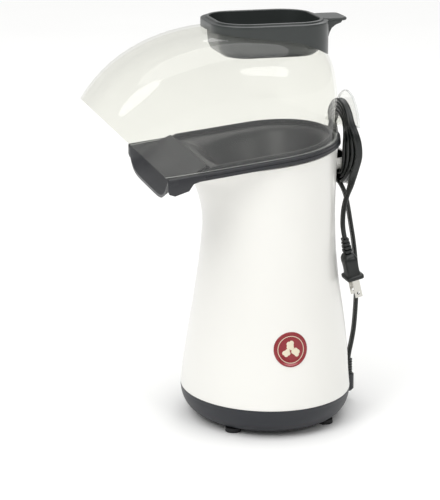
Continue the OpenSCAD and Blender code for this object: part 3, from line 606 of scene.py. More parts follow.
@dataclass
class CordSet:
    """The flat supply cord, its strain relief and its plug.

    The cord rises from the base's rear, passes behind the turns to the far side of the hooks, lies in
    turns on both hooks and hangs down to its plug.
    """

    width: float = 6.8
    thick: float = 3.5
    turns: int = 4
    first_r: float = 22.15
    pitch: float = 3.6
    top_z: float = 246.5
    low_z: float = 238.5
    turn_y: float = 67.8
    fan: tuple[float, ...] = (-2.2, 0.4, 3.2, 6.0)
    lead_route: Route = ((-6, 80.2, 40), (-5.8, 81.4, 48), (-5.2, 83.2, 58), (-4.2, 84.6, 70), (-3, 85.2, 84),
                         (-2, 85.5, 100), (-0.6, 85, 117), (1, 83.2, 135), (2.8, 80.4, 153), (5, 76.8, 170),
                         (7.4, 73.2, 186), (9, 70.2, 197), (8, 66.4, 206))
    behind_route: Route = ((-1, 63.6, 212), (-11, 63.2, 218), (-18.5, 63.4, 227), (-21.8, 65.2, 237))
    tail_route: Route = ((28.4, 70.6, 218), (27.6, 68.6, 209), (27.2, 65.6, 200), (27.8, 63, 191),
                         (29, 61.6, 182), (30, 61.4, 173), (30.4, 63, 163))
    plug_lean: float = 13.0

    def bulged(self, turn: int, x: float, z: float) -> Vector:
        """Returns a turn's point, spread along Y where it hangs free between the hooks' flanges."""
        low, high = 210.0, 266.0
        free = math.sin(math.pi * min(max((z - low) / (high - low), 0.0), 1.0)) ** 1.3
        return Vector((x, self.turn_y + self.fan[turn] * free, z))

    def turn_points(self) -> list[Vector]:
        """Returns the turns' points in millimetres, from the first climb to the last fall."""
        made = []
        steps = 16
        for k in range(self.turns):
            r = self.first_r + self.pitch * k
            for j in range(steps + 1):
                t = math.pi * (1 - j / steps)
                made.append(self.bulged(k, r * math.cos(t), self.top_z + r * math.sin(t)))
            if k == self.turns - 1:
                made += [self.bulged(k, r, self.low_z), self.bulged(k, r - 0.6, self.low_z - 7)]
                continue
            for j in range(steps + 1):
                t = -math.pi * j / steps
                grown = mix(r, r + self.pitch, j / steps)
                turn = k if j < steps / 2 else k + 1
                made.append(self.bulged(turn, grown * math.cos(t), self.low_z + grown * math.sin(t)))
        return made

    def centreline(self) -> tuple[list[Vector], list[Vector]]:
        """Returns the cord's points in the frame and, for each, the way its width lies."""
        turned = [tuple(p) for p in self.turn_points()]
        route = [*self.lead_route, *self.behind_route, *turned, *self.tail_route]
        flat = [1.0] * len(self.lead_route) + [0.95, 0.8, 0.55, 0.25]
        flat += [0.0] * len(turned) + [0.35, 0.75, 1.0, 1.0, 1.0, 1.0, 1.0]
        rows = spline([(*p, f) for p, f in zip(route, flat)], 3)
        points = [at(*row[:3]) for row in rows]
        width = [Vector((row[3], 1 - row[3], 0.0)).normalized() for row in rows]
        return points, width

    def section(self) -> list[tuple[float, float]]:
        """Returns the flat twin section: two round cores side by side, as across and thickness in metres."""
        core = self.thick / 2
        offset = self.width / 2 - core
        right = [(offset + core * math.cos(math.radians(a)), core * math.sin(math.radians(a)))
                 for a in range(-135, 136, 45)]
        return [(x * MM, y * MM) for x, y in right + [(-x, -y) for x, y in right]]

    def build_cord(self) -> bpy.types.Object:
        points, width = self.centreline()
        section = self.section()
        sides = len(section)
        frames = []
        for i, p in enumerate(points):
            ahead = (points[min(i + 1, len(points) - 1)] - points[max(i - 1, 0)]).normalized()
            up = ahead.cross(width[i]).normalized()
            frames.append((p, up.cross(ahead).normalized(), up))
        bm = bmesh.new()

        def place(i: int, j: int) -> Vector:
            """Returns the skin's point at a station and a side."""
            p, across, up = frames[i]
            x, y = section[j % sides]
            return p + across * x + up * y

        add_sheet(bm, len(points) - 1, sides, place)
        close_up(bm, True)
        cord = to_object(bm, "supply_cord", CORD_PVC.material(), 60)
        settle(cord, "base", CORD_PVC.slot, ("cord_lead", "cord_coil", "cord_tail"))
        relief, plug = self.build_relief(), self.build_plug()
        return cord

    def build_relief(self) -> bpy.types.Object:
        """Makes the ribbed, tapered relief that stands in the pan's gland."""
        low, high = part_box("strain_relief")
        centre_x, centre_y = (low.x + high.x) / 2, (low.y + high.y) / 2
        base_r = (high.x - low.x) / 2
        bm = bmesh.new()

        def circle(radius: float, z: float) -> Outline:
            """Returns a circle round the relief's axis."""
            return lambda t: Vector((centre_x + radius * math.cos(t), centre_y + radius * math.sin(t), z))

        outlines = [circle(base_r * 0.8, low.z), circle(base_r, low.z + 0.6 * MM),
                    circle(base_r, low.z + 12 * MM)]
        ribs = 6
        step = (high.z - low.z - 12.5 * MM) / ribs
        for k in range(ribs):
            radius = mix(base_r, 3.9 * MM, k / (ribs - 1))
            z = low.z + 12.5 * MM + k * step
            outlines += [circle(radius * 0.82, z), circle(radius * 0.82, z + step * 0.3),
                         circle(radius, z + step * 0.4), circle(radius, z + step * 0.9)]
        outlines += [circle(3.0 * MM, high.z)]
        loft(bm, 32, outlines, caps=True)
        relief = to_object(bm, "cord_relief", CORD_PVC.material(), 40)
        return settle(relief, "base", CORD_PVC.slot, ("strain_relief",))

    def build_plug(self) -> bpy.types.Object:
        """Makes the moulded plug: a ribbed neck, a grip with a waist and a flange."""
        start = at(*self.tail_route[-1])
        lean = math.radians(self.plug_lean)
        axis = Vector((0, math.sin(lean), -math.cos(lean)))
        depth = Vector((0, math.cos(lean), math.sin(lean)))
        bm = bmesh.new()

        def block(width: float, deep: float, s: float, n: float = 4.0) -> Outline:
            """Returns a soft rectangle across the plug, s millimetres along it."""
            return lambda t: (start + axis * s * MM
                              + Vector((width / 2 * signed_power(math.cos(t), 2 / n) * MM, 0, 0))
                              + depth * deep / 2 * signed_power(math.sin(t), 2 / n) * MM)

        outlines = [block(7.0, 3.6, 0.0)]
        for k in range(4):
            grow = 0.6 * k
            outlines += [block(9 + grow, 6 + grow, 3.4 * k + 0.3), block(9 + grow, 6 + grow, 3.4 * k + 2.0),
                         block(7.4, 4.6, 3.4 * k + 2.3), block(7.4, 4.6, 3.4 * k + 3.3)]
        outlines += [block(11, 7.4, 14.0), block(15.5, 10.2, 16.0), block(17.6, 11.7, 18.5, 5),
                     block(18, 12, 21, 5), block(17.2, 11.2, 26, 5), block(17.2, 11.2, 30, 5),
                     block(18, 12, 33.2, 5), block(21.4, 15.4, 34.0, 6), block(22, 16, 34.5, 6),
                     block(22, 16, 36.5, 6), block(21.4, 15.4, 37.0, 6)]
        loft(bm, 48, outlines, caps=True)
        plug = to_object(bm, "cord_plug", CORD_PVC.material(), 50)
        return settle(plug, "base", CORD_PVC.slot, ("plug_body",))

    def build(self) -> None:
        """Makes the cord and what is on it."""
        self.build_cord()
        dress("plug_blades", NICKEL_BRASS)


def dress(node: str, finish: Finish) -> None:
    """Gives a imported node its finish."""
    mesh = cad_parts[node].data
    mesh.materials.clear()
    mesh.materials.append(finish.material())


# ---- base


@dataclass
class Base:
    """The dark pan with its vents and gland, and the four feet."""

    floor_z: float = 4.0
    wall: float = 2.5
    slots: int = 7
    slot_pitch: float = 9.0
    slot_width: float = 4.0
    slot_length: float = 44.0
    post_ring: float = 56.0
    post_r: float = 4.0
    post_top: float = 56.0
    gland_r: float = 5.6
    seam_z: float = SEAM_Z

    def __post_init__(self) -> None:
        """Reads the pan's size from the frame."""
        low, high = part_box("base_pan")
        self.half_w = (high.x - low.x) / 2 / MM
        self.half_d = -(low.y - AXIS_Y) / MM

    def level(self, z: float, shrink: float) -> Outline:
        """Returns the pan's outline at a height, drawn in by shrink."""
        return oval(self.half_w - shrink, self.half_d - shrink, self.half_d - shrink, z)

    def build_pan(self) -> bpy.types.Object:
        """Makes the pan: a round-bottomed shell with a step under its seam."""
        top = self.seam_z
        outer = spline([(self.floor_z, 15.0), (self.floor_z + 1.2, 11.5), (self.floor_z + 4.5, 7.0),
                        (self.floor_z + 10, 3.0), (self.floor_z + 16, 0.8), (top - 2.4, 0.1)], 3)
        rings = [self.level(z, s) for z, s in outer]
        rings += [self.level(top - 2.2, 0.0), self.level(top - 0.3, 0.0), self.level(top, 0.35)]
        rings += [self.level(top, self.wall), self.level(top - 7, self.wall + 0.8)]
        rings += [self.level(self.floor_z + 10, self.wall + 3),
                  self.level(self.floor_z + 4.5, self.wall + 8.5),
                  self.level(self.floor_z + self.wall, self.wall + 14)]
        bm = bmesh.new()
        loft(bm, 128, rings, caps=True)
        pan = to_object(bm, "pan_shell", PAN_PP.material(), 40)
        self.cut_vents(pan)
        posts = bmesh.new()
        for angle in (90, 210, 330):
            a = math.radians(angle)
            spot = (self.post_ring * math.cos(a), self.post_ring * math.sin(a))
            self.add_post(posts, spot, self.post_r, self.floor_z + 1, self.post_top)
        for side in (-1, 1):
            self.add_post(posts, (-46.0, -8.0 + side * 9.0), 2.5, self.floor_z + 1, 24.0)
        add_to_object(pan, posts, 40)
        return settle(pan, "base", PAN_PP.slot, ("base_pan",))

    def add_post(self, bm: bmesh.types.BMesh, spot: tuple[float, float], r: float, low: float,
                 high: float) -> None:
        """Adds a moulded post with a chamfered end."""
        def circle(radius: float, z: float) -> Outline:
            """Returns a circle round the post."""
            return lambda t: at(spot[0] + radius * math.cos(t), spot[1] + radius * math.sin(t), z)
        loft(bm, 24, [circle(r + 1, low), circle(r, low + 2), circle(r, high - 0.4),
                      circle(r - 0.4, high)], caps=True)

    def cut_vents(self, pan: bpy.types.Object) -> None:
        """Cuts the row of air slots through the pan's floor."""
        bm = bmesh.new()
        first = -(self.slots - 1) / 2 * self.slot_pitch
        for k in range(self.slots):
            size = Matrix.Diagonal((self.slot_width * MM, self.slot_length * MM, 12 * MM, 1))
            move = Matrix.Translation(at(first + k * self.slot_pitch, 0, self.floor_z))
            bmesh.ops.create_cube(bm, size=1.0, matrix=move @ size)
        cutter = to_object(bm, "vent_cutter", PAN_PP.material(), 40)
        carve(pan, cutter, 40)

    def build_gland(self) -> bpy.types.Object:
        """Makes the gland that holds the cord's relief on the pan's rear."""
        low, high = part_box("strain_relief")
        centre = Vector(((low.x + high.x) / 2, (low.y + high.y) / 2, 0))
        bore = (high.x - low.x) / 2 / MM + 0.1
        bottom, top = 10.0, self.seam_z - 1

        def cup(radius: float, z: float) -> Outline:
            """Returns a circle round the gland, from millimetres."""
            return lambda t: centre + Vector((radius * math.cos(t), radius * math.sin(t), z)) * MM

        bm = bmesh.new()
        loft(bm, 48, [cup(1.0, bottom + 3.2), cup(bore, bottom + 3.2), cup(bore, top - 0.4),
                      cup(bore + 0.4, top), cup(self.gland_r - 0.5, top), cup(self.gland_r, top - 0.5),
                      cup(self.gland_r, bottom + 2), cup(self.gland_r - 1.8, bottom),
                      cup(1.0, bottom)], caps=True)
        web = Matrix.Translation(centre + Vector((0, -7 * MM, 18.5 * MM))) @ Matrix.Diagonal(
            (9 * MM, 7 * MM, 12 * MM, 1))
        made = bmesh.ops.create_cube(bm, size=1.0, matrix=web)["verts"]
        bmesh.ops.bevel(bm, geom=list({e for v in made for e in v.link_edges}), offset=0.8 * MM, segments=2,
                        profile=0.5, affect="EDGES", material=-1)
        gland = to_object(bm, "cord_gland", PAN_PP.material(), 40)
        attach(gland, "base")
        return gland

    def build_foot(self, node: str) -> bpy.types.Object:
        """Makes one rubber foot with a soft edge and a hollow middle."""
        low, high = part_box(node)
        centre = Vector(((low.x + high.x) / 2, (low.y + high.y) / 2, 0))
        r = (high.x - low.x) / 2
        h = high.z

        def circle(share: float, z: float) -> Outline:
            """Returns a circle round the foot, by shares of its radius and height."""
            return lambda t: centre + Vector((r * share * math.cos(t), r * share * math.sin(t), h * z))

        bm = bmesh.new()
        loft(bm, 40, [circle(0.36, 0.3), circle(0.36, 0.06), circle(0.42, 0), circle(0.86, 0),
                      circle(0.96, 0.08), circle(1, 0.24), circle(0.97, 1), circle(0.36, 1)], closed=True)
        pad = to_object(bm, node + "_pad", FOOT_RUBBER.material(), 45)
        return settle(pad, "base", FOOT_RUBBER.slot, (node,))

    def build(self) -> None:
        """Makes the pan, its gland and the feet."""
        self.build_pan()
        self.build_gland()
        for node in ("foot_front_left", "foot_front_right", "foot_rear_left", "foot_rear_right"):
            self.build_foot(node)


# ---- cord hooks


class Keep(Enum):
    """Which part of a round hook is left after its straight cut."""

    BELOW = 1
    ABOVE = -1


@dataclass
class CordHook:
    """A round saddle on the rear with a flange that keeps the cord on it."""

    saddle_r: float
    saddle_z: float
    root_y: float
    flange_r: float
    flange_z: float
    cut_z: float
    keep: Keep
    flange_y: float = 72.4
    flange_t: float = 2.4
    saddle_t: float = 2.4

    def circle(self, radius: float, z0: float, y: float) -> Outline:
        """Returns a circle that stands across Y."""
        return lambda t: at(radius * math.cos(t), y, z0 + radius * math.sin(t))

    def build(self) -> bmesh.types.BMesh:
        """Returns the hook as a mesh of its own."""
        bm = bmesh.new()
        inner = self.saddle_r - self.saddle_t
        loft(bm, 96, [self.circle(self.saddle_r, self.saddle_z, self.root_y),
                      self.circle(self.saddle_r, self.saddle_z, self.flange_y + 0.2),
                      self.circle(inner, self.saddle_z, self.flange_y + 0.2),
                      self.circle(inner, self.saddle_z, self.root_y)], closed=True)
        back = self.flange_y + self.flange_t
        loft(bm, 128, [self.circle(self.flange_r - 0.5, self.flange_z, self.flange_y),
                       self.circle(self.flange_r, self.flange_z, self.flange_y + 0.5),
                       self.circle(self.flange_r, self.flange_z, back - 0.5),
                       self.circle(self.flange_r - 0.5, self.flange_z, back)], caps=True)
        slice_off(bm, at(0, 0, self.cut_z), Vector((0, 0, self.keep.value)))
        return bm


# ---- housing


@dataclass
class Housing:
    """The white waisted shell, its lower cord hook and its badge."""

    waist_w: float = 126.0
    waist_d: float = 115.5
    waist_z: float = 185.0
    wall: float = 2.5
    top_z: float = 239.4
    slope: float = DECK_SLOPE
    badge_z: float = 80.0
    badge_y: float = 1.0
    badge_r: float = 15.0
    seam_z: float = SEAM_Z

    def __post_init__(self) -> None:
        """Reads the foot of the shell from the frame."""
        low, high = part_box("base_pan")
        self.half_w = (high.x - low.x) / 2 / MM
        self.half_d = -(low.y - AXIS_Y) / MM
        self.levels = spline(self.profile(), 4)

    def profile(self) -> list[tuple[float, ...]]:
        """Returns each level's height, half width, rear depth, front depth and slope."""
        a, b, z = self.half_w, self.half_d, self.seam_z
        wa, wb, wz, s = self.waist_w / 2, self.waist_d / 2, self.waist_z, self.slope
        return [(z, a, b, b, 0), (z + 16, a - 2, b - 1.4, b - 1.6, 0), (z + 34, a - 4, b - 2.4, b - 4.2, 0),
                (z + 54, a - 7, b - 4.4, b - 7.2, 0), (z + 74, a - 10.2, b - 7, b - 10.6, 0.004),
                (wz - 64, wa + 5.4, wb + 7.2, wb + 3.8, 0.01), (wz - 44, wa + 2.6, wb + 5, wb + 1, 0.016),
                (wz - 24, wa + 0.6, wb + 3.6, wb - 1.2, 0.03), (wz - 4, wa, wb + 3, wb - 2.4, 0.05),
                (wz + 14, wa + 0.8, wb + 3, wb, 0.075), (wz + 30, wa + 2.4, wb + 3.2, wb + 4.4, 0.1),
                (wz + 40, wa + 4, wb + 3.3, wb + 8, s), (wz + 46, wa + 5, wb + 3.5, wb + 13, s),
                (self.top_z - 3, wa + 6.2, 61.2, 77, s), (self.top_z, wa + 7, 61.5, 82, s)]

    def ring(self, level: Sequence[float], inset: float, lift: float = 0.0) -> Outline:
        """Returns a level's outline, drawn in by inset and raised by lift."""
        z, a, rear, front, slope = level
        return oval(a - inset, rear - inset, front - inset, z + lift, slope)

    def skin_x(self, y: float, z: float) -> float:
        """Returns how far the shell's side stands out at a height and depth, in millimetres."""
        pairs = zip(self.levels, self.levels[1:])
        low, high = next((p for p in pairs if p[1][0] >= z), (self.levels[-2], self.levels[-1]))
        share = (z - low[0]) / (high[0] - low[0])
        a = mix(low[1], high[1], share)
        b = mix(low[2], high[2], share) if y > 0 else mix(low[3], high[3], share)
        return a * math.sqrt(max(0.0, 1 - (y / b) ** 2))

    def build_shell(self) -> bpy.types.Object:
        """Makes the shell with rounded rims, and the lower hook on its rear."""
        first, last, w = self.levels[0], self.levels[-1], self.wall
        rings = [self.ring(first, w), self.ring(first, 0.5), self.ring(first, 0.12, 0.15),
                 self.ring(first, 0.0, 0.6)]
        rings += [self.ring(level, 0.0) for level in self.levels[1:-1]]
        rings += [self.ring(last, 0.05, -0.9), self.ring(last, 0.35, -0.25), self.ring(last, 0.9),
                  self.ring(last, w - 0.6), self.ring(last, w - 0.1, -0.5)]
        rings += [self.ring(level, w) for level in reversed(self.levels[1:-1])]
        bm = bmesh.new()
        loft(bm, 128, rings, closed=True)
        hook = CordHook(20.0, 238.5, self.waist_d / 2 + 1, 25.0, 230.0, 232.0, Keep.BELOW)
        join_into(bm, hook.build())
        shell = to_object(bm, "housing_shell", HOUSING_ABS.material(), 40)
        return settle(shell, "base", HOUSING_ABS.slot, ("housing",))

    def on_skin(self, u: float, v: float, proud: float) -> Vector:
        """Returns the point u behind and v above the badge's middle, proud of the skin."""
        y, z = self.badge_y + u, self.badge_z + v
        return at(self.skin_x(y, z) + proud, y, z)

    def badge_ring(self, radius: float, proud: float) -> Outline:
        """Returns a circle on the skin round the badge's middle."""
        return lambda t: self.on_skin(radius * math.cos(t), radius * math.sin(t), proud)

    def build_badge(self) -> bpy.types.Object:
        """Makes the round badge with a raised rim."""
        r = self.badge_r
        bm = bmesh.new()
        stages = ((0.3, 0.42), (r * 0.3, 0.42), (r * 0.6, 0.42), (r - 1.9, 0.4), (r - 1.6, 0.62),
                  (r - 0.5, 0.66), (r - 0.1, 0.4), (r, 0.05), (r * 0.5, 0.02), (0.3, 0.02))
        loft(bm, 72, [self.badge_ring(*stage) for stage in stages], caps=True)
        badge = to_object(bm, "badge_disc", BADGE_FOIL.material(), 35)
        return settle(badge, "base", BADGE_FOIL.slot, ("badge",))

    def build_motif(self) -> bpy.types.Object:
        """Makes the badge's popped kernels: low rounded lobes in three bunches, over a thin ring."""
        bm = bmesh.new()
        for cx, cz, size in ((-4.2, -2.2, 3.0), (4.0, -2.6, 3.2), (0.0, 3.6, 3.4)):
            for k in range(5):
                a = math.tau * k / 5 + cx
                # The first lobe is the bunch's larger middle one
                lobe, out = (0.62 * size, 0.62 * size) if k else (0.75 * size, 0.0)
                u, v = cx + out * math.cos(a), cz + out * math.sin(a)
                made = bmesh.ops.create_icosphere(bm, subdivisions=3, radius=1.0)["verts"]
                for vert in made:
                    vert.co = self.on_skin(u + vert.co.y * lobe, v + vert.co.z * lobe,
                                           0.42 + 0.25 * vert.co.x)
        loft(bm, 72, [self.badge_ring(11.2, 0.35), self.badge_ring(11.2, 0.5), self.badge_ring(11.7, 0.5),
                      self.badge_ring(11.7, 0.35)], closed=True)
        motif = to_object(bm, "badge_motif", BADGE_PRINT.material(), 40)
        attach(motif, "base")
        return motif

    def build(self) -> None:
        """Makes the shell, its hook and its badge."""
        self.build_shell()
        self.build_badge()
        self.build_motif()


# ---- chute deck


@dataclass
class ChuteDeck:
    """The dark tray on top of the housing: a rim with a ridge, a well, a ramp and the spout."""

    deck_z: float = 247.0
    tilt: float = DECK_TILT
    half_w: float = 74.0
    spout_half: float = 76.0
    rear: float = 63.5
    spout_y: float = 106.0
    crease_y: float = 70.0
    drop: float = 19.6
    skirt: float = 6.0
    wall: float = 2.4
    ridge: float = 3.6
    mouth_r: float = 41.0
    mouth_z: float = 214.6
    hump: float = 4.4

    def tilted(self, x: float, y: float, z: float) -> Vector:
        """Returns a point given in the deck's own tilted plane."""
        a = math.radians(self.tilt)
        return at(x, y * math.cos(a) - z * math.sin(a), self.deck_z + y * math.sin(a) + z * math.cos(a))

    def rim_point(self, u: float, inset: float) -> tuple[float, float]:
        """Returns the rim's plan point, from the right spout corner round the rear to the left one."""
        side = 0.3
        if side <= u <= 1 - side:
            t = math.pi * (u - side) / (1 - 2 * side)
            return (self.half_w - inset) * math.cos(t), (self.rear - inset) * math.sin(t)
        share = (side - u) / side if u < side else (u - 1 + side) / side
        y = -self.spout_y * share
        narrow = max(0.0, (-y - self.crease_y) / (self.spout_y - self.crease_y))
        x = mix(self.half_w, self.spout_half, share) - min(inset, mix(11.5, 2.6, narrow))
        return (x if u < side else -x), y

    def build_rim(self, bm: bmesh.types.BMesh) -> None:
        """Adds the rim: a skirt with a fine groove, a flat top and the ridge that centres the hood."""
        ridge_from = 10
        section = [(2.2, -self.skirt), (0.4, -self.skirt), (0.0, -self.skirt + 0.4), (0.0, -3.2), (0.5, -2.9),
                   (0.5, -2.5), (0.0, -2.2), (0.0, -0.6), (0.6, 0.0), (6.4, 0.0),
                   (7.0, 0.3), (7.0, self.ridge - 0.5), (7.5, self.ridge), (8.5, self.ridge),
                   (9.0, self.ridge - 0.5), (9.3, -0.2),
                   (11.2, -0.3), (11.2, -self.wall), (2.4, -self.wall)]
        stations, sides = 150, len(section)

        def place(i: int, j: int) -> Vector:
            """Returns the rim's skin at a station and a side of its section."""
            inset, z = section[j % sides]
            x, y = self.rim_point(i / stations, inset)
            if ridge_from <= j % sides < ridge_from + 5:
                z *= min(1.0, max(0.0, (y + self.crease_y + 6) / 12))
            return self.tilted(x, y, z)

        add_sheet(bm, stations, sides, place)
        close_up(bm, True)

    def well_edge(self, t: float) -> tuple[float, float]:
        """Returns the plan of the well's upper edge: round at the rear, square to the crease."""
        c, s = math.cos(t), math.sin(t)
        if s >= 0:
            return (self.half_w - 8.4) * c, (self.rear - 8.4) * s
        reach = 1 / max(abs(c), abs(s))
        return (self.half_w - 8.4) * c * reach, (self.crease_y + 1) * s * reach

    def build_well(self, bm: bmesh.types.BMesh) -> None:
        """Adds the well: a dish that falls to the chamber's mouth, with a collar under it."""
        stages = ((0.0, 0.0), (0.28, 0.012), (0.42, 0.05), (0.52, 0.14), (0.6, 0.26), (0.7, 0.44),
                  (0.8, 0.63), (0.9, 0.83), (0.97, 0.95), (1.0, 1.0))

        def ring(share: float, fall: float) -> Outline:
            """Returns the dish's outline at a share of the way in and down."""
            def point(t: float) -> Vector:
                """Returns the outline's point at an angle."""
                x, y = self.well_edge(t)
                edge = self.tilted(x, y, -0.5)
                mouth = at(self.mouth_r * math.cos(t), self.mouth_r * math.sin(t), self.mouth_z)
                flat = edge.lerp(mouth, share)
                return Vector((flat.x, flat.y, mix(edge.z, mouth.z, fall)))
            return point

        def circle(radius: float, z: float) -> Outline:
            """Returns a circle round the mouth."""
            return lambda t: at(radius * math.cos(t), radius * math.sin(t), z)

        own = bmesh.new()
        loft(own, 128, [ring(*stage) for stage in stages])
        thicken(own, own.faces[:], Vector((0, 0, -1.6 * MM)))
        loft(own, 96, [circle(self.mouth_r, self.mouth_z + 3), circle(self.mouth_r + 10, self.mouth_z + 3),
                       circle(self.mouth_r + 10, self.mouth_z + 0.1),
                       circle(self.mouth_r, self.mouth_z + 0.1)], closed=True)
        join_into(bm, own)

    def ramp_point(self, u: float, v: float) -> Vector:
        """Returns the ramp's top: u from behind the crease to the spout, v from the left to the right."""
        if u < 0:
            rise = self.hump * (1 + u / 0.22) + 2.4 * u / 0.22
        else:
            rise = self.hump * max(0.0, 1 - u * 3.2)
        ahead = max(u, 0.0)
        half = mix(64.0, self.spout_half - 1.3, ahead)
        y = -(self.crease_y + (self.spout_y - self.crease_y) * u)
        sag = self.drop * ahead ** 1.3 * (1 - abs(v) ** 6)
        return at(half * v, y, self.deck_z + math.tan(math.radians(self.tilt)) * y - 0.1 + rise - sag)

    def build_ramp(self, bm: bmesh.types.BMesh) -> None:
        """Adds the ramp, which falls from its crease into the spout's trough."""
        across, behind, ahead = 64, 4, 28

        def place(i: int, j: int) -> Vector:
            """Returns the ramp's point at a column and a row."""
            u = (j - behind) / behind * 0.22 if j < behind else (j - behind) / ahead
            return self.ramp_point(u, 2 * i / across - 1)

        own = bmesh.new()
        faces = add_sheet(own, across, behind + ahead, place)
        thicken(own, faces, Vector((0, 0, -self.wall * MM)))
        join_into(bm, own)

    def build_cheek(self, bm: bmesh.types.BMesh, side: int) -> None:
        """Adds the plate that closes a spout corner from the side."""
        slope = math.tan(math.radians(self.tilt))
        outline = [(-self.spout_y, -0.6), (-self.spout_y, -9), (-self.spout_y + 1.2, -12.4),
                   (-self.spout_y + 6, -14), (-88.0, -self.skirt - 4.2), (-84.0, -self.skirt - 1),
                   (-74.0, -self.skirt + 1), (-74.0, -0.6)]
        own = bmesh.new()
        out = side * (self.spout_half - 0.15)
        # Points at the tilted rim follow its slope, and the deep ones are measured from the spout's front
        verts = [own.verts.new(at(out, y, self.deck_z + slope * (y if z > -9 else -self.spout_y) + z))
                 for y, z in outline]
        face = own.faces.new(verts)
        thicken(own, [face], Vector((-side * self.wall * MM, 0, 0)))
        bmesh.ops.bevel(own, geom=own.edges[:], offset=0.35 * MM, segments=2, profile=0.5, affect="EDGES",
                        material=-1)
        join_into(bm, own)

    def build(self) -> None:
        """Makes the whole deck as one moulding."""
        bm = bmesh.new()
        self.build_rim(bm)
        self.build_well(bm)
        self.build_ramp(bm)
        for side in (-1, 1):
            self.build_cheek(bm, side)
        deck = to_object(bm, "chute_deck", DECK_NYLON.material(), 38)
        settle(deck, "base", DECK_NYLON.slot, ("chute_tray",))


# ---- hood


@dataclass
class ClearHood:
    """The clear hood with its slanting front opening, its cup opening and the upper cord hook."""

    half_w: float = 71.7
    rear: float = 59.2
    mid_y: float = -10.0
    low_z: float = 247.3
    top_z: float = 344.5
    wall: float = 2.2
    tip_y: float = -161.0
    tip_z: float = 290.0
    crown_slope: float = -0.075
    deck_slope: float = DECK_SLOPE
    squareness: float = 4.4
    n_rear: float = 2.3
    n_front: float = 3.4
    fullness: float = 0.985
    opening_l: float = 93.2
    opening_w: float = 83.2
    opening_r: float = 26.6
    opening_y: float = -2.5

    def __post_init__(self) -> None:
        """Works out how far the front reaches at the lower rim, from where its tip is."""
        share = (self.tip_z - self.low_z) / (self.top_z - self.low_z)
        self.front = (-self.tip_y + self.mid_y) / math.sqrt(1 - share * share)

    def ring(self, h: float, inset: float) -> Outline:
        """Returns the hood's outline at a share of its height, drawn in by inset."""
        k = h * self.fullness
        rear = max(1 - k ** 4, 0.0) ** 0.25
        front = math.sqrt(max(1 - k * k, 0.0))
        side = max(1 - k ** self.squareness, 0.0) ** (1 / self.squareness)
        z = self.low_z + (self.top_z - self.low_z - inset) * h
        return oval((self.half_w - inset) * side, (self.rear - self.mid_y - inset) * rear,
                    (self.front - inset) * front, z, mix(self.deck_slope, self.crown_slope, h),
                    self.n_rear, self.n_front, self.mid_y)

    def build(self) -> None:
        """Makes the shell, slices its front opening, cuts the cup's opening and adds the hook."""
        shares = [0, 0.1, 0.2, 0.29, 0.38, 0.45, 0.52, 0.58, 0.64, 0.69, 0.74, 0.78, 0.82, 0.855, 0.89,
                  0.915, 0.94, 0.958, 0.975, 0.988, 1.0]
        bm = bmesh.new()
        rings = [self.ring(h, self.wall) for h in reversed(shares)]
        rings += [self.ring(0, self.wall * 0.8), self.ring(0, self.wall * 0.2)]
        rings += [self.ring(h, 0.0) for h in shares]
        loft(bm, 144, rings, caps=True)
        slice_off(bm, at(0, self.tip_y, self.tip_z), Vector((0, -1, -1)).normalized())
        hood = to_object(bm, "hood_shell", clear_polycarbonate(), 32)
        cutter = bmesh.new()
        loft(cutter, 96, [oblong(self.opening_l, self.opening_w, self.opening_r, z, self.opening_y)
                          for z in (self.top_z - 26, self.top_z + 30)], caps=True)
        carve(hood, to_object(cutter, "cup_opening", clear_polycarbonate(), 32), 32)
        hook = CordHook(20.0, 246.5, self.rear - 1.2, 34.0, 254.0, 260.94, Keep.ABOVE)
        add_to_object(hood, hook.build(), 32)
        self.mark_edges(hood)
        settle(hood, "hood", "hood_clear", ("hood",))

    def mark_edges(self, hood: bpy.types.Object) -> None:
        """Gives the thin faces at the rim, the slanting cut and the hook's edge the pale material that paints
        a highlight along them.
        """
        # The second material paints a pale highlight along the hood's thin edges
        hood.data.materials.append(polycarbonate_painted_edge_highlight())
        slant = Vector((0, -1, -1)).normalized()
        cut = at(0, self.tip_y, self.tip_z)
        for face in hood.data.polygons:
            c = face.center
            on_cut = abs((c - cut).dot(slant)) < 0.02 * MM and face.normal.dot(slant) > 0.99
            y = (c.y - AXIS_Y) / MM
            on_rim = abs(c.z / MM - self.low_z - self.deck_slope * y) < 0.1 and face.normal.z < -0.9
            on_hook = y > 72 and abs(face.normal.y) < 0.8
            if on_cut or on_rim or on_hook:
                face.material_index = 1


# ---- measuring cup


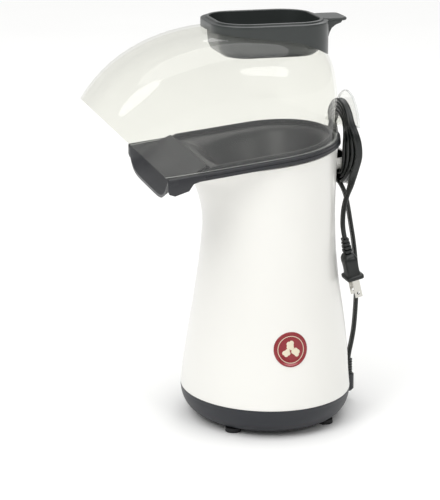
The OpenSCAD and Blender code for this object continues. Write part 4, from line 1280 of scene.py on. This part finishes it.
@dataclass
class MeasuringCup:
    """The cup that rests in the hood's top, with a stepped rim, a shaped lip and a flat handle."""

    length: float = 92.0
    width: float = 82.0
    corner: float = 26.0
    mid_y: float = -2.5
    depth: float = 29.0
    wall: float = 2.0
    flange: float = 5.5
    lip_h: float = 1.6
    handle_w: float = 32.0
    handle_l: float = 19.0

    def __post_init__(self) -> None:
        """Reads the rim's height from the frame."""
        self.top_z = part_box("measuring_cup")[1].z / MM
        self.rim_z = self.top_z - self.lip_h

    def ring(self, grow: float, z: float) -> Outline:
        """Returns the cup's outline grown by a distance, at a height."""
        return oblong(self.length + 2 * grow, self.width + 2 * grow, max(self.corner + grow, 4.0), z,
                      self.mid_y)

    def lip(self, grow: float, clear: float) -> Outline:
        """Returns the lip's lower outline, which follows the hood's crown a little above it."""
        def point(t: float) -> Vector:
            """Returns the lip's point at an angle."""
            p = self.ring(grow, 0)(t)
            x, y = p.x / MM, (p.y - AXIS_Y) / MM
            return at(x, y, CROWN.height(x, y) + clear)
        return point

    def build_bowl(self, bm: bmesh.types.BMesh) -> None:
        """Adds the bowl, its stepped rim and its lip as one closed wall."""
        rim, top, low = self.rim_z, self.top_z, self.rim_z - self.depth
        w, f = self.wall, self.flange
        rings = [self.ring(-30, low + w), self.ring(-14, low + w), self.ring(-10.6, low + w + 0.6),
                 self.ring(-6, low + 4.4), self.ring(-3.4, low + 8.6), self.ring(-2.6, low + 12),
                 self.ring(-w, rim - 8), self.ring(-w, top - 0.7), self.ring(-w + 0.5, top - 0.1),
                 self.ring(-w + 1.0, top), self.ring(0.2, top), self.ring(0.9, top - 0.3),
                 self.ring(1.1, rim + 0.3), self.ring(1.5, rim), self.ring(f - 0.8, rim),
                 self.ring(f - 0.2, rim - 0.3),
                 self.ring(f, rim - 1.0), self.ring(f, rim - 2.6), self.lip(f, 0.5), self.lip(f - 2, 0.5),
                 self.ring(f - 2, rim - 2.6), self.ring(0.4, rim - 2.6), self.ring(0, rim - 4),
                 self.ring(-0.4, rim - 14), self.ring(-1.0, low + 8), self.ring(-3.0, low + 3.4),
                 self.ring(-6.4, low + 0.7), self.ring(-10, low), self.ring(-30, low)]
        loft(bm, 144, rings, caps=True)

    def build_handle(self, bm: bmesh.types.BMesh) -> None:
        """Adds the flat handle with round corners, and the curved webs under it."""
        start = self.mid_y + self.length / 2 + self.flange
        top = self.top_z - 1.2
        half = self.handle_w / 2

        def plate(grow: float, z: float) -> Outline:
            """Returns the handle's outline, square at the cup and round at its tip."""
            def point(t: float) -> Vector:
                """Returns the outline's point at an angle."""
                c, s = signed_power(math.cos(t), 0.28), signed_power(math.sin(t), 0.4)
                y = start - 4 + (self.handle_l + 4 + grow) * (s + 1) / 2
                return at((half + grow) * c, y, z)
            return point

        loft(bm, 96, [plate(-0.7, top - 2.6), plate(0, top - 1.9), plate(0, top - 0.6),
                      plate(-0.6, top)], caps=True)
        for side in (-1, 1):
            web = bmesh.new()
            outline = [(0, -2), (self.handle_l - 2, -2), (self.handle_l - 3, -4.2), (11, -6.0), (7.6, -8.6),
                       (5.6, -12.4), (4.6, -16), (0, -16)]
            verts = [web.verts.new(at(side * (half - 0.4), start - 3 + y, top + z)) for y, z in outline]
            thicken(web, [web.faces.new(verts)], Vector((-side * 2 * MM, 0, 0)))
            bmesh.ops.bevel(web, geom=web.edges[:], offset=0.4 * MM, segments=2, profile=0.5, affect="EDGES",
                            material=-1)
            join_into(bm, web)

    def build(self) -> None:
        """Makes the cup."""
        bm = bmesh.new()
        self.build_bowl(bm)
        self.build_handle(bm)
        cup = to_object(bm, "cup_body", CUP_NYLON.material(), 38)
        settle(cup, "cup", CUP_NYLON.slot, ("measuring_cup",))


@dataclass
class Crown:
    """The height of the hood's crown, which the cup's lip follows."""

    hood: ClearHood

    def height(self, x: float, y: float) -> float:
        """Returns the crown's height over a plan point, in millimetres."""
        h = self.hood
        low, high = 0.5, 1.0
        for _ in range(24):
            mid = (low + high) / 2
            if self.covers(mid, x, y):
                low = mid
            else:
                high = mid
        slope = mix(h.deck_slope, h.crown_slope, low)
        return h.low_z + (h.top_z - h.low_z) * low + slope * y

    def covers(self, share: float, x: float, y: float) -> bool:
        """Returns True if a plan point lies inside the hood's outline at a share of its height."""
        h = self.hood
        k = share * h.fullness
        side = (1 - k ** h.squareness) ** (1 / h.squareness) * h.half_w
        rear = y > h.mid_y
        depth = (1 - k ** 4) ** 0.25 * (h.rear - h.mid_y) if rear else math.sqrt(1 - k * k) * h.front
        n = h.n_rear if rear else h.n_front
        return abs(x / side) ** n + abs((y - h.mid_y) / depth) ** n <= 1


CROWN = Crown(ClearHood())


# ---- inner parts


class InnerParts:
    """The nodes that stay as packed: chamber, heater, fan, motor, board and fastenings."""

    FINISHES = {
        "popping_chamber": DRAWN_ALUMINIUM, "chamber_gasket": FIBRE_FELT, "chamber_screws": ZINC_STEEL,
        "heater_shroud": ZINC_STEEL, "heater_frame": MICA_SHEET, "heating_coil": HEATER_WIRE,
        "thermostat": SINTERED_BRONZE, "thermal_fuse": ZINC_STEEL, "fan_housing": FAN_NYLON,
        "fan_screws": ZINC_STEEL, "fan_impeller": FAN_NYLON, "fan_nut": ZINC_STEEL, "motor_can": ZINC_STEEL,
        "motor_end_cap": FAN_NYLON, "motor_magnets": FERRITE, "bush_upper": SINTERED_BRONZE,
        "bush_lower": SINTERED_BRONZE, "motor_shaft": ZINC_STEEL, "motor_armature": COPPER_WINDING,
        "motor_screws": ZINC_STEEL, "rectifier_board": BOARD_LAMINATE, "wiring": LEAD_PVC,
        "base_screws": ZINC_STEEL,
    }

    def build(self) -> None:
        """Dresses each node in its finish."""
        for node, finish in self.FINISHES.items():
            dress(node, finish)
            LOG.info("%s: %s", node, finish.name)


def main() -> None:
    """Builds the studio, then the popper from its cord to its inner parts."""
    logging.basicConfig(level=logging.INFO, format="%(name)s %(message)s")
    for part in (Studio(), CordSet(), Base(), Housing(), ChuteDeck(), ClearHood(), MeasuringCup(),
                 InnerParts()):
        LOG.info("building %s", type(part).__name__)
        part.build()


if __name__ == "__main__":
    main()
